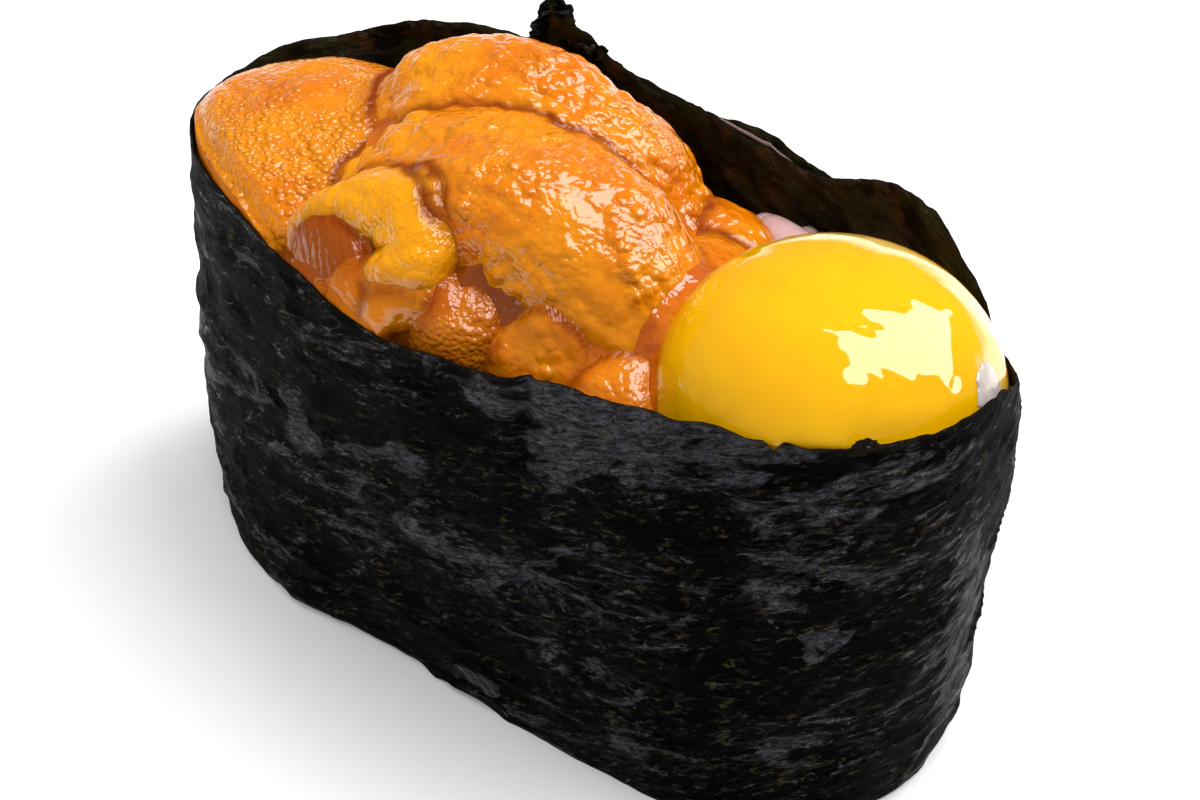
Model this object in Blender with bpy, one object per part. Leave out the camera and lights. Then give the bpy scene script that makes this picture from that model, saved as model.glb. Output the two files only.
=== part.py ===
"""Battleship sushi: a band of nori round a bed of rice, filled with sea urchin lobes and one quail yolk.

Working sizes are in millimetres and meshes are written in metres, +Z up. The origin lies on the ground
under the middle of the band, +X points to the end that holds the yolk and +Y to the wall where the
two ends of the nori strip overlap.
"""

import itertools
import math
from dataclasses import dataclass

import bpy
import numpy as np

MM = 0.001
LAYOUT_SHIFT = np.array([1.155, -0.795, 0.0])  # brings the middle of the band over the origin

# The nori strip. Angles run round the plan from the yolk's end (0) by the overlap (90).
RIM_CENTRE = np.array([-0.1, 0.45])
RIM_HALF_LENGTH = 30.7
RIM_HALF_WIDTH = 14.4
RIM_POWER = 2.0
FOOT_CENTRE = np.array([-2.0, -0.1])
FOOT_HALF_LENGTH = 29.0
FOOT_HALF_WIDTH = 13.3
FOOT_POWER = 2.5
BAND_HEIGHT = 32.0
NORI_THICKNESS = 0.4
START_ANGLE = 115.0
STRIP_TURN = 405.0
OVERLAP_STEP = 0.8  # how far the outer end lies outside the inner one
STEP_BEGINS, STEP_ENDS = 293.0, 355.0
DENT_DEPTH = 0.3
DENT_SIZE = 7.0
FOOT_LIFT = 0.6  # most that the foot's edge stands off the ground
FOOT_LIFT_SIZE = 6.0
FOOT_LIFT_SEED = 3
STRIP_COLUMNS, STRIP_ROWS = 98, 7

# (angle, rim pushed out, middle pushed out, foot pushed out) where the wall leaves the plain ovals.
WALL_OFFSETS = (
    (0, -1.3, 0.8, -1.0), (30, -0.7, 0.4, -0.7), (60, 0.1, 0.0, -0.7), (90, -0.1, 0.0, 0.4),
    (105, 0.0, 0.0, 0.7), (135, 0.35, 0.0, -0.6), (150, 0.2, 0.0, -0.7), (180, 0.1, 0.2, 0.8),
    (195, 0.0, 0.5, -0.1), (210, -0.4, 0.2, -0.5), (225, -0.8, 0.0, -0.1), (243, -0.8, 0.0, 0.3),
    (255, 0.0, 0.0, -0.5), (270, 0.2, 0.0, -0.5), (285, 0.1, 0.0, 0.8), (300, 0.0, 0.0, 1.9),
    (318, 0.4, 0.2, 1.1), (340, 0.0, 0.5, 0.1),
)
# (degrees turned from the strip's inner end, rim height). The first point is the raised inner corner.
RIM_HEIGHTS = (
    (0, 35.2), (3, 35.3), (7, 33.6), (12, 31.9), (25, 30.6), (40, 30.1), (55, 32.4), (70, 30.4),
    (85, 28.0), (100, 29.8), (115, 32.0), (145, 32.1), (160, 31.9), (175, 32.0), (190, 32.3),
    (205, 30.7), (220, 29.4), (235, 30.1), (265, 30.1), (295, 30.1), (325, 30.9), (348, 32.1),
    (367, 31.6), (385, 30.2), (395, 30.0), (405, 29.6),
)

# The bed of rice, and the room that the fillings have above it.
GAP = 0.3
FACE_SEARCH_STEPS = 5
HIGHEST_SHARE = 1.2  # shares of the band's height are held to this above the rim
RICE_TOP = 19.5
RICE_LEVELS = (1.0, 6.0, 11.0, 15.0, RICE_TOP)
RICE_SIDES = 60
RICE_MOUND_AT = np.array([7.4, 11.0])
RICE_MOUND_HEIGHT = 6.4
RICE_MOUND_RADIUS = 2.8
RICE_MOUND_SUNK = 1.5
RICE_MOUND_RINGS = (2.3, 1.7, 1.25, 0.85, 0.45)  # in mound radii
RICE_MOUND_SIDES = 14
GRAIN_LENGTH, GRAIN_WIDTH = 6.2, 2.9
GRAIN_PLUMPNESS = 0.7
GRAIN_RINGS, GRAIN_SIDES = 3, 5
GRAIN_SPACING = (6.4, 4.3)
GRAIN_SEED = 11
GRAIN_SHIFT = 0.7  # most that a grain under the bed leaves its place in the rows
GRAIN_TILT = 0.12  # most that it tilts, in radians
GRAIN_HEIGHTS = (0.5, 1.0)
GRAIN_MARGIN = 0.86  # grains under the bed keep inside this share of its outline
GRAIN_INSET = np.array([2.0, 1.5])
SHOWN_GRAIN_AT = (7.6, 11.3, 26.1)
SHOWN_GRAIN_TURN, SHOWN_GRAIN_TILT = -18.0, 6.0
GROUND_BLOCK = 90.0

# The yolk: a dome that its own weight flattens underneath.
YOLK_CENTRE = np.array([18.5, -0.75, 27.0])
YOLK_RADIUS = 10.9
YOLK_RISE = 9.05
YOLK_POWER = 2.2
YOLK_RINGS, YOLK_SIDES = 15, 28

# Whole numbers that scatter the corners of the noise lattice.
LATTICE_STEPS = (374761393, 668265263, 1440662683)
LATTICE_SEED_STEP = 362437
LATTICE_MIX = 1274126177
LUMP_SEED = 5


@dataclass(frozen=True)
class Lobe:
    """One tongue of sea urchin: a spine with half widths and half depths along it."""

    spine: tuple
    half_widths: tuple
    half_depths: tuple
    rings: int
    sides: int
    up: tuple = (0.0, 0.0, 1.0)
    lumps: float = 0.35
    lump_size: float = 4.5
    blunt: float = 3.0


# Each node is one or more tongues fused together. The first listed keep their form where two meet.
LOBES = {
    "uni_curl": (
        Lobe(
            (
                (-15.4, -9.9, 31.0), (-13.8, -8.3, 32.5), (-10.6, -7.3, 33.7), (-7.4, -7.7, 34.0),
                (-6.5, -9.5, 32.9), (-8.2, -11.1, 31.4),
            ),
            (0.9, 1.3, 1.8, 2.4, 2.4, 1.7), (0.9, 1.3, 1.7, 2.1, 2.2, 1.6), 18, 10, lumps=0.15,
        ),
        Lobe(
            ((-14.8, -10.4, 30.0), (-11.8, -9.6, 31.0), (-9.0, -9.8, 31.0)),
            (1.9, 2.6, 2.2), (1.8, 2.2, 2.0), 8, 10,
        ),
        Lobe(
            ((-8.8, -5.2, 34.8), (-6.6, -6.2, 35.0), (-5.3, -8.2, 33.2)),
            (1.2, 1.5, 1.2), (1.2, 1.4, 1.2), 8, 9, lumps=0.1,
        ),
    ),
    "uni_tip": (
        Lobe(
            ((-11.4, -12.0, 29.6), (-9.6, -11.6, 30.5), (-7.6, -11.5, 30.0)),
            (1.6, 1.9, 1.6), (1.5, 1.7, 1.5), 9, 9, lumps=0.1,
        ),
        Lobe(
            ((-7.2, -12.4, 28.8), (-7.0, -11.9, 30.0), (-5.6, -10.6, 30.8), (-3.8, -10.0, 30.4)),
            (1.3, 1.7, 1.8, 1.5), (1.3, 1.6, 1.6, 1.4), 10, 9, lumps=0.1,
        ),
    ),
    "uni_front": (
        Lobe(
            ((-5.2, -7.4, 29.6), (-3.0, -9.2, 28.8), (-2.2, -11.4, 26.4)),
            (2.6, 3.2, 3.2), (2.4, 2.8, 2.8), 12, 12,
        ),
    ),
    "uni_near": (
        Lobe(
            ((-0.2, -6.8, 28.9), (2.4, -7.8, 28.0), (4.8, -9.6, 25.8)),
            (2.6, 3.2, 3.3), (2.6, 3.2, 3.0), 12, 13,
        ),
    ),
    "uni_middle": (
        Lobe(
            ((-16.2, -3.4, 29.0), (-8.5, -2.3, 31.4), (1.0, -2.0, 31.2), (9.4, -4.0, 27.0)),
            (4.6, 6.3, 6.3, 5.4), (4.2, 5.8, 5.8, 5.2), 18, 17,
        ),
    ),
    "uni_back": (
        Lobe(
            ((-19.4, 3.4, 28.4), (-13.0, 5.5, 30.9), (-5.2, 6.5, 30.2), (2.6, 8.2, 25.2)),
            (5.8, 6.5, 5.5, 4.2), (5.2, 5.7, 5.2, 4.2), 16, 16,
        ),
    ),
    "uni_far": (
        Lobe(
            ((-32.6, -0.6, 27.0), (-27.0, -3.0, 28.5), (-20.0, -4.0, 28.4), (-13.5, -5.6, 26.6)),
            (6.0, 8.6, 9.8, 8.4), (3.7, 3.8, 3.8, 3.4), 17, 18, up=(0.0, -0.12, 1.0), blunt=5.0,
        ),
    ),
    "uni_low": (
        Lobe(
            ((-20.0, -7.6, 25.4), (-15.0, -9.4, 26.8), (-9.4, -10.4, 26.6), (-3.6, -10.6, 25.2)),
            (3.6, 4.4, 4.2, 3.4), (2.8, 3.2, 3.2, 2.8), 12, 10,
        ),
    ),
    "uni_edge": (
        Lobe(
            ((5.4, -6.8, 26.4), (8.0, -7.8, 26.6), (11.4, -8.8, 24.8)),
            (2.6, 3.2, 2.8), (2.4, 2.8, 2.6), 12, 12,
        ),
    ),
    "uni_side": (
        Lobe(
            ((1.2, 10.6, 23.8), (4.8, 8.6, 25.6), (8.4, 8.4, 24.6)),
            (2.8, 3.4, 2.6), (2.6, 3.0, 2.6), 10, 10,
        ),
        Lobe(
            ((3.2, 6.4, 25.0), (6.6, 3.2, 26.6), (9.2, -0.6, 25.6)),
            (2.8, 3.4, 2.8), (2.6, 3.0, 2.6), 10, 10,
        ),
    ),
    "uni_corner": (
        Lobe(
            ((13.6, 11.6, 24.4), (16.8, 11.2, 26.2), (20.4, 9.8, 25.6)),
            (1.6, 2.0, 1.7), (1.9, 2.3, 2.0), 9, 10,
        ),
    ),
}

COLOURS = {
    "nori": ((0.008, 0.009, 0.008), 0.42),
    "rice": ((0.82, 0.79, 0.71), 0.5),
    "uni": ((0.80, 0.30, 0.02), 0.22),
    "yolk": ((0.95, 0.55, 0.01), 0.08),
}


def between(stations, at):
    """Smooth curve through stations of (place, value, ...), read at the places given; one array a value."""
    table = np.array(stations, float)
    place, values = table[:, 0], table[:, 1:]
    slope = np.gradient(values, place, axis=0)
    left = np.clip(np.searchsorted(place, at, side="right") - 1, 0, len(place) - 2)
    span = (place[left + 1] - place[left])[..., None]
    t = ((at - place[left]) / (place[left + 1] - place[left]))[..., None]
    made = (
        (1 + 2 * t) * (1 - t) ** 2 * values[left]
        + t * t * (3 - 2 * t) * values[left + 1]
        + (t * (1 - t) ** 2 * slope[left] - t * t * (1 - t) * slope[left + 1]) * span
    )
    return np.moveaxis(made, -1, 0)


def round_the_plan(stations, angle):
    """The same curve through stations that repeat each full turn."""
    table = np.array(stations, float)
    shift = np.zeros(table.shape[1])
    shift[0] = 360.0
    whole = np.concatenate([table - shift, table, table + shift])
    return between(whole, np.mod(angle, 360.0))


def lattice_value(cell, seed):
    """A fixed pseudo-random value from -1 to 1 for each whole-number cell corner."""
    mixed = (cell * np.array(LATTICE_STEPS)).sum(axis=-1) + seed * LATTICE_SEED_STEP
    mixed = np.bitwise_and(mixed ^ (mixed >> 13), 0xFFFFFFFF) * LATTICE_MIX
    return np.bitwise_and(mixed ^ (mixed >> 16), 0xFFFF) / 32767.5 - 1.0


def noise(points, size, seed=0):
    """Smooth value noise from -1 to 1, blended between the corners of cells of the given size."""
    scaled = points / size
    cell = np.floor(scaled).astype(np.int64)
    part = scaled - cell
    blend = part * part * (3 - 2 * part)
    total = np.zeros(points.shape[:-1])
    for corner in itertools.product((0, 1), repeat=3):
        weight = np.prod(np.where(corner, blend, 1 - blend), axis=-1)
        total += weight * lattice_value(cell + np.array(corner), seed)
    return total


def oval(angle, half_length, half_width, power):
    """Points of an oval round the origin, and its outward normals."""
    c, s = np.cos(np.radians(angle)), np.sin(np.radians(angle))
    x = half_length * np.sign(c) * np.abs(c) ** (2 / power)
    y = half_width * np.sign(s) * np.abs(s) ** (2 / power)
    normal = np.stack([c / half_length, s / half_width], -1)
    return np.stack([x, y], -1), normal / np.linalg.norm(normal, axis=-1, keepdims=True)


def wall(angle, height, outward):
    """Points of the band's wall at an angle and a height, moved outward from its middle surface."""
    rim, rim_normal = oval(angle, RIM_HALF_LENGTH, RIM_HALF_WIDTH, RIM_POWER)
    foot, foot_normal = oval(angle, FOOT_HALF_LENGTH, FOOT_HALF_WIDTH, FOOT_POWER)
    rim_out, middle_out, foot_out = round_the_plan(WALL_OFFSETS, angle)
    share = (height / BAND_HEIGHT)[..., None]
    plan = (1 - share) * (foot + FOOT_CENTRE) + share * (rim + RIM_CENTRE)
    normal = (1 - share) * foot_normal + share * rim_normal
    s = share[..., 0]
    shift = (1 - s) * foot_out + s * rim_out + 4 * np.maximum(s * (1 - s), 0) * middle_out
    smooth = np.concatenate([plan, height[..., None]], -1)
    shift = shift + DENT_DEPTH * noise(smooth, DENT_SIZE) + outward
    return np.concatenate([plan + normal * shift[..., None], height[..., None]], -1)


def ease(x):
    """Smooth step from 0 to 1."""
    x = np.clip(x, 0, 1)
    return x * x * (3 - 2 * x)


def bearing(plan):
    """The direction of points from the middle of the band, with its length squeezed to its width."""
    return np.arctan2(plan[..., 1] / RIM_HALF_WIDTH, plan[..., 0] / RIM_HALF_LENGTH)


def within_band(points, gap=GAP):
    """Presses points against the inner face of the nori."""
    share = np.clip(points[..., 2:3] / BAND_HEIGHT, 0, HIGHEST_SHARE)
    centre = (1 - share) * FOOT_CENTRE + share * RIM_CENTRE
    wanted = bearing(points[..., :2] - centre)
    angle = np.degrees(wanted)
    for _ in range(FACE_SEARCH_STEPS):
        face = wall(angle, points[..., 2], -(NORI_THICKNESS / 2 + gap))[..., :2]
        miss = wanted - bearing(face - centre)
        angle = angle + np.degrees(np.arctan2(np.sin(miss), np.cos(miss)))
    reach = np.linalg.norm(points[..., :2] - centre, axis=-1)
    room = np.linalg.norm(face - centre, axis=-1)
    pressed = points.copy()
    pull = np.minimum(1.0, room / np.maximum(reach, 1e-6))[..., None]
    pressed[..., :2] = centre + (points[..., :2] - centre) * pull
    return pressed


def keep_inside(points, gap=GAP):
    """Presses points against the inner face of the nori, and up from the rice."""
    pressed = within_band(points, gap)
    pressed[..., 2] = np.maximum(pressed[..., 2], rice_top(pressed[..., :2]) + gap)
    return pressed


def rice_top(plan):
    """Height of the bed of rice, which rises to a mound by the back wall."""
    away = np.linalg.norm(plan - RICE_MOUND_AT, axis=-1) / RICE_MOUND_RADIUS
    return RICE_TOP + RICE_MOUND_HEIGHT * np.exp(-away * away)


def add_object(name, points, faces, slot):
    """A mesh object from points in millimetres and faces, with its own material."""
    mesh = bpy.data.meshes.new(name)
    mesh.from_pydata(((points + LAYOUT_SHIFT) * MM).tolist(), [], [list(face) for face in faces])
    mesh.update()
    mesh.shade_smooth()
    made = bpy.data.objects.new(name, mesh)
    bpy.context.collection.objects.link(made)
    colour, roughness = COLOURS[slot]
    material = bpy.data.materials.new(name)
    material.use_nodes = True
    shader = material.node_tree.nodes["Principled BSDF"]
    shader.inputs["Base Color"].default_value = (*colour, 1)
    shader.inputs["Roughness"].default_value = roughness
    shader.inputs["Metallic"].default_value = 0.0
    made.data.materials.append(material)
    return made


def skin_faces(rings, sides):
    """Faces of a closed skin: a first pole, rings of points, and a last pole."""
    end = 1 + rings * sides
    faces = []
    for side in range(sides):
        after = (side + 1) % sides
        faces.append((0, 1 + after, 1 + side))
        faces.append((end, end - sides + side, end - sides + after))
        for low in range(1, end - sides, sides):
            faces.append((low + side, low + after, low + sides + after, low + sides + side))
    return faces


def tongue(lobe, grow=0.0):
    """Points of one lobe: ovals square to a spine, rounded off at both ends, with soft lumps."""
    spine = np.array(lobe.spine, float)
    steps = np.linalg.norm(np.diff(spine, axis=0), axis=1)
    along = np.concatenate([[0], np.cumsum(steps)]) / steps.sum()
    place = 0.5 - 0.5 * np.cos(np.pi * np.arange(lobe.rings + 2) / (lobe.rings + 1))
    stations = np.column_stack([along, spine, lobe.half_widths, lobe.half_depths])
    x, y, z, half_width, half_depth = between(stations, place)
    centre = np.stack([x, y, z], -1)
    tangent = np.gradient(centre, place, axis=0)
    tangent /= np.linalg.norm(tangent, axis=1, keepdims=True)
    side = np.cross(np.array(lobe.up, float), tangent)
    side /= np.linalg.norm(side, axis=1, keepdims=True)
    top = np.cross(tangent, side)
    centre += tangent * (2 * place[:, None] - 1) * grow
    cap = np.maximum(0, 1 - np.abs(2 * place - 1) ** lobe.blunt) ** 0.5
    turn = 2 * np.pi * np.arange(lobe.sides) / lobe.sides
    across = (half_width + grow)[:, None, None] * np.cos(turn)[None, :, None] * side[:, None, :]
    deep = (half_depth + grow)[:, None, None] * np.sin(turn)[None, :, None] * top[:, None, :]
    ring = (across + deep) * cap[:, None, None]
    points = centre[:, None, :] + ring
    lump = 1 + lobe.lumps * noise(points, lobe.lump_size, LUMP_SEED) / np.mean(lobe.half_depths)
    points = centre[:, None, :] + ring * lump[..., None]
    return np.concatenate([points[0, :1], points[1:-1].reshape(-1, 3), points[-1, :1]])


def lobe_object(name, lobe, grow=0.0):
    """One tongue as an object, pressed into the room inside the band."""
    points = keep_inside(tongue(lobe, grow), GAP - grow)
    return add_object(name, points, skin_faces(lobe.rings, lobe.sides), "uni")


def yolk_object(name, grow=0.0):
    """The yolk as an object: a fat oval dome over a base pressed flat on the rice."""
    rise = math.pi * (np.arange(YOLK_RINGS + 2) / (YOLK_RINGS + 1) - 0.5)
    turn = 2 * np.pi * np.arange(YOLK_SIDES) / YOLK_SIDES
    bulge = np.cos(rise) ** (2 / YOLK_POWER)
    height = np.sign(np.sin(rise)) * np.abs(np.sin(rise)) ** (2 / YOLK_POWER)
    x = (YOLK_RADIUS + grow) * bulge[:, None] * np.cos(turn)
    y = (YOLK_RADIUS + grow) * bulge[:, None] * np.sin(turn)
    z = (YOLK_RISE + grow) * height[:, None] * np.ones(YOLK_SIDES)
    points = YOLK_CENTRE + np.stack([x, y, z], -1)
    points = np.concatenate([points[0, :1], points[1:-1].reshape(-1, 3), points[-1, :1]])
    return add_object(name, keep_inside(points, GAP - grow), skin_faces(YOLK_RINGS, YOLK_SIDES), "yolk")


def combine(made, others, operation):
    """Applies one Boolean with several objects to made, then removes them."""
    group = bpy.data.collections.new("tools")
    bpy.context.scene.collection.children.link(group)
    for other in others:
        bpy.context.collection.objects.unlink(other)
        group.objects.link(other)
    modifier = made.modifiers.new("combine", "BOOLEAN")
    modifier.operation = operation
    modifier.operand_type = "COLLECTION"
    modifier.collection = group
    modifier.solver = "MANIFOLD"
    graph = bpy.context.evaluated_depsgraph_get()
    result = bpy.data.meshes.new_from_object(made.evaluated_get(graph))
    made.modifiers.clear()
    made.data = result
    for other in others:
        bpy.data.objects.remove(other)
    bpy.data.collections.remove(group)


def largest_piece(made):
    """Drops loose scraps that a cut leaves beside the main body."""
    mesh = made.data
    parent = list(range(len(mesh.vertices)))

    def root(i):
        while parent[i] != i:
            parent[i] = parent[parent[i]]
            i = parent[i]
        return i

    for edge in mesh.edges:
        a, b = root(edge.vertices[0]), root(edge.vertices[1])
        parent[a] = b
    roots = np.array([root(i) for i in range(len(parent))])
    names, counts = np.unique(roots, return_counts=True)
    if len(names) == 1:
        return
    kept = roots == names[np.argmax(counts)]
    number = np.cumsum(kept) - 1
    points = [v.co[:] for v, keep in zip(mesh.vertices, kept) if keep]
    faces = [[number[v] for v in p.vertices] for p in mesh.polygons if kept[p.vertices[0]]]
    clean = bpy.data.meshes.new(made.name)
    clean.from_pydata(points, [], faces)
    clean.shade_smooth()
    clean.materials.append(mesh.materials[0])
    made.data = clean


def make_nori():
    """The strip of nori, wound once round and a little over itself, as one thin closed solid."""
    turn = np.linspace(0, STRIP_TURN, STRIP_COLUMNS)[:, None] * np.ones(STRIP_ROWS)
    up = np.ones(STRIP_COLUMNS)[:, None] * np.linspace(0, 1, STRIP_ROWS)
    angle = START_ANGLE - turn
    plan, _ = oval(angle, RIM_HALF_LENGTH, RIM_HALF_WIDTH, RIM_POWER)
    level = np.concatenate([plan, np.zeros_like(plan[..., :1])], -1)
    lift = FOOT_LIFT * np.clip(noise(level, FOOT_LIFT_SIZE, FOOT_LIFT_SEED), 0, 1)
    rim_height = between(RIM_HEIGHTS, turn)[0]
    height = lift + (rim_height - lift) * up
    step = OVERLAP_STEP * ease((turn - STEP_BEGINS) / (STEP_ENDS - STEP_BEGINS))
    outer = wall(angle, height, step + NORI_THICKNESS / 2).reshape(-1, 3)
    inner = wall(angle, height, step - NORI_THICKNESS / 2).reshape(-1, 3)
    points = np.concatenate([outer, inner])
    return add_object("nori", points, strip_faces(STRIP_COLUMNS, STRIP_ROWS), "nori")


def strip_faces(columns, rows):
    """Faces of a thin strip: an outer and an inner grid of columns by rows, joined round their edge."""
    inner = columns * rows
    faces = []
    for c, r in itertools.product(range(columns - 1), range(rows - 1)):
        a, b = c * rows + r, (c + 1) * rows + r
        faces.append((a, a + 1, b + 1, b))
        faces.append((inner + a, inner + b, inner + b + 1, inner + a + 1))
    edge = [c * rows for c in range(columns)]
    edge += [(columns - 1) * rows + r for r in range(1, rows)]
    edge += [c * rows + rows - 1 for c in range(columns - 2, -1, -1)]
    edge += [r for r in range(rows - 2, 0, -1)]
    for a, b in zip(edge, edge[1:] + edge[:1]):
        faces.append((a, b, inner + b, inner + a))
    return faces


def rice_core():
    """The bed of rice without its grains: the room inside the band, flat below, up to the rice's top."""
    angle = 360.0 * np.arange(RICE_SIDES) / RICE_SIDES
    inward = -(NORI_THICKNESS / 2 + GAP)
    rings = [wall(angle, np.full(RICE_SIDES, level), inward) for level in RICE_LEVELS]
    points = np.concatenate([rings[0].mean(axis=0)[None], *rings, rings[-1].mean(axis=0)[None]])
    return add_object("rice", points, skin_faces(len(rings), RICE_SIDES), "rice")


def rice_mound(grow=0.0):
    """The rise in the rice by the back wall, down to a little below the top of the bed."""
    reach = np.array(RICE_MOUND_RINGS) * RICE_MOUND_RADIUS
    turn = 2 * np.pi * np.arange(RICE_MOUND_SIDES) / RICE_MOUND_SIDES
    spread = np.stack([np.cos(turn), np.sin(turn)], -1)
    plan = RICE_MOUND_AT + reach[:, None, None] * spread
    rings = np.concatenate([plan + grow * spread, rice_top(plan)[..., None] + grow], -1)
    rings = within_band(rings, GAP - grow)
    base = RICE_TOP - RICE_MOUND_SUNK
    rings[0, :, 2] = base
    top = np.array([[*RICE_MOUND_AT, RICE_TOP + RICE_MOUND_HEIGHT + grow]])
    below = np.array([[*rings[0, :, :2].mean(axis=0), base]])
    points = np.concatenate([below, rings.reshape(-1, 3), top])
    return add_object("mound", points, skin_faces(len(reach), RICE_MOUND_SIDES), "rice")


def grain(centre, heading, tilt, grow=0.0):
    """One cooked grain: a small plump oval of thirty faces."""
    half_length = GRAIN_LENGTH / 2 + grow
    half_width = GRAIN_WIDTH / 2 + grow
    place = np.arange(1, GRAIN_RINGS + 1) / (GRAIN_RINGS + 1)
    along = -np.cos(np.pi * place) * half_length
    round_by = np.sin(np.pi * place) ** GRAIN_PLUMPNESS * half_width
    turn = 2 * np.pi * np.arange(GRAIN_SIDES) / GRAIN_SIDES
    x = along[:, None] * np.ones(GRAIN_SIDES)
    y = round_by[:, None] * np.cos(turn)
    z = round_by[:, None] * np.sin(turn)
    ring = np.stack([x, y, z], -1).reshape(-1, 3)
    points = np.concatenate([[[-half_length, 0, 0]], ring, [[half_length, 0, 0]]])
    c, s = math.cos(heading), math.sin(heading)
    ct, st = math.cos(tilt), math.sin(tilt)
    points = points @ np.array([[ct * c, ct * s, st], [-s, c, 0], [-st * c, -st * s, ct]])
    return add_object("grain", points + np.array(centre), skin_faces(GRAIN_RINGS, GRAIN_SIDES), "rice")


def shown_grain(grow=0.0):
    """The one grain that shows from above, on the mound."""
    return grain(SHOWN_GRAIN_AT, math.radians(SHOWN_GRAIN_TURN), math.radians(SHOWN_GRAIN_TILT), grow)


def make_rice():
    """The bed of rice with the grains that show: under it, and one at the back beside the yolk."""
    rice = rice_core()
    draw = np.random.default_rng(GRAIN_SEED)
    grains = [rice_mound(), shown_grain()]
    step_x, step_y = GRAIN_SPACING
    room = GRAIN_MARGIN * (np.array([FOOT_HALF_LENGTH, FOOT_HALF_WIDTH]) - GRAIN_INSET)
    for row, y in enumerate(np.arange(-FOOT_HALF_WIDTH, FOOT_HALF_WIDTH, step_y)):
        for x in np.arange(-FOOT_HALF_LENGTH, FOOT_HALF_LENGTH, step_x) + (row % 2) * step_x / 2:
            at = np.array([x, y]) + draw.uniform(-GRAIN_SHIFT, GRAIN_SHIFT, 2)
            heading = draw.uniform(0, np.pi)
            tilt = draw.uniform(-GRAIN_TILT, GRAIN_TILT)
            height = draw.uniform(*GRAIN_HEIGHTS)
            if (np.abs(at / room) ** FOOT_POWER).sum() < 1:
                grains.append(grain((*(at + FOOT_CENTRE), height), heading, tilt))
    combine(rice, grains, "UNION")
    combine(rice, [half_space()], "INTERSECT")
    return rice


def half_space():
    """A block that holds everything above the ground."""
    reach = (-GROUND_BLOCK, GROUND_BLOCK)
    corners = np.array(list(itertools.product(reach, reach, (0.0, GROUND_BLOCK))))
    faces = [(0, 1, 3, 2), (4, 6, 7, 5), (0, 4, 5, 1), (2, 3, 7, 6), (0, 2, 6, 4), (1, 5, 7, 3)]
    return add_object("ground", corners, faces, "rice")


def make_fillings():
    """The yolk and the lobes, each cut back a little from those already placed."""
    yolk_object("yolk")
    placed = []
    for name, parts in LOBES.items():
        first, *more = [lobe_object(name if i == 0 else "part", lobe) for i, lobe in enumerate(parts)]
        if more:
            combine(first, more, "UNION")
        cutters = [rice_mound(GAP), shown_grain(GAP), yolk_object("cutter", GAP)]
        for other in placed:
            cutters += [lobe_object("cutter", lobe, GAP) for lobe in LOBES[other]]
        combine(first, cutters, "DIFFERENCE")
        largest_piece(first)
        placed.append(name)


def main():
    for old in list(bpy.data.objects):
        bpy.data.objects.remove(old)
    make_nori()
    make_rice()
    make_fillings()


main()
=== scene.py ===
"""Sea urchin gunkan sushi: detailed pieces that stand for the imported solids, their finishes and the studio.

Shapes are worked out in millimetres in the layout's own coordinates, as numpy arrays of whole surfaces, and
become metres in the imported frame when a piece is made.
"""

import itertools
import logging
import math
from dataclasses import dataclass, field
from enum import Enum
from typing import Any, Callable, Optional, Sequence, Union

import bpy
import numpy as np
from mathutils import Matrix, Vector


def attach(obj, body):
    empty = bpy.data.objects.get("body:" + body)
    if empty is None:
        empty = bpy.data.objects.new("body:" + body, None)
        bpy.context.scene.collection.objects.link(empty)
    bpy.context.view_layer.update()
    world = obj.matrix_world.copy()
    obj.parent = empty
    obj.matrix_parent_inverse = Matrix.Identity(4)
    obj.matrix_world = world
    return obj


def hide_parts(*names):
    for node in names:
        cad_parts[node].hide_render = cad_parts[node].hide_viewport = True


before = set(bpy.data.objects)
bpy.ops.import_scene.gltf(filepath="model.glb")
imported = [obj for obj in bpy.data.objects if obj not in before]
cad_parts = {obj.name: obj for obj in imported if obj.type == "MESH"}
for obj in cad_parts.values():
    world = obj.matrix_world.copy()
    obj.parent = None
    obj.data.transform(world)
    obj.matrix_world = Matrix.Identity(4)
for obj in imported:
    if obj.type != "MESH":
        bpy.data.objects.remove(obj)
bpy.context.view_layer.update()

logging.basicConfig(level=logging.INFO, format="%(levelname)s %(message)s")
LOG = logging.getLogger("sushi")

Array = np.ndarray
Colour = tuple[float, float, float]
Direction = tuple[float, float, float]

MM = 0.001
LAYOUT_SHIFT = np.array([1.155, -0.795, 0.0])
# The height that the filling rests on, and how far the nori's wrinkles climb in each millimetre along it.
BED_TOP = 19.6
NORI_SLANT = 0.27


class Slot(Enum):
    """The material slots' names."""

    NORI = "nori"
    RICE = "rice"
    URCHIN = "uni"
    YOLK = "yolk"


class Operation(Enum):
    """What a Math node does."""

    ADD = "ADD"
    SUBTRACT = "SUBTRACT"
    MULTIPLY = "MULTIPLY"
    POWER = "POWER"
    MINIMUM = "MINIMUM"
    MAXIMUM = "MAXIMUM"


def ease(x: Array) -> Array:
    """Eases from 0 to 1 with no slope at either end: three x squared less two x cubed."""
    x = np.clip(x, 0.0, 1.0)
    return x * x * (3.0 - 2.0 * x)


def between(stations: Any, at: Array) -> Array:
    """Reads a smooth curve through stations at the places asked for.

    Each span is a cubic whose slopes at its two stations are the table's own gradients.

    Args:
        stations: Rows of place and values, in rising order of place.
        at: Places to read, of any shape.

    Returns:
        One array the shape of at for each value, stacked first.
    """
    table = np.array(stations, float)
    place, values = table[:, 0], table[:, 1:]
    slope = np.gradient(values, place, axis=0)
    left = np.clip(np.searchsorted(place, at, side="right") - 1, 0, len(place) - 2)
    span = (place[left + 1] - place[left])[..., None]
    t = ((at - place[left]) / (place[left + 1] - place[left]))[..., None]
    made = (
        (1 + 2 * t) * (1 - t) ** 2 * values[left]
        + t * t * (3 - 2 * t) * values[left + 1]
        + (t * (1 - t) ** 2 * slope[left] - t * t * (1 - t) * slope[left + 1]) * span
    )
    return np.moveaxis(made, -1, 0)


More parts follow.
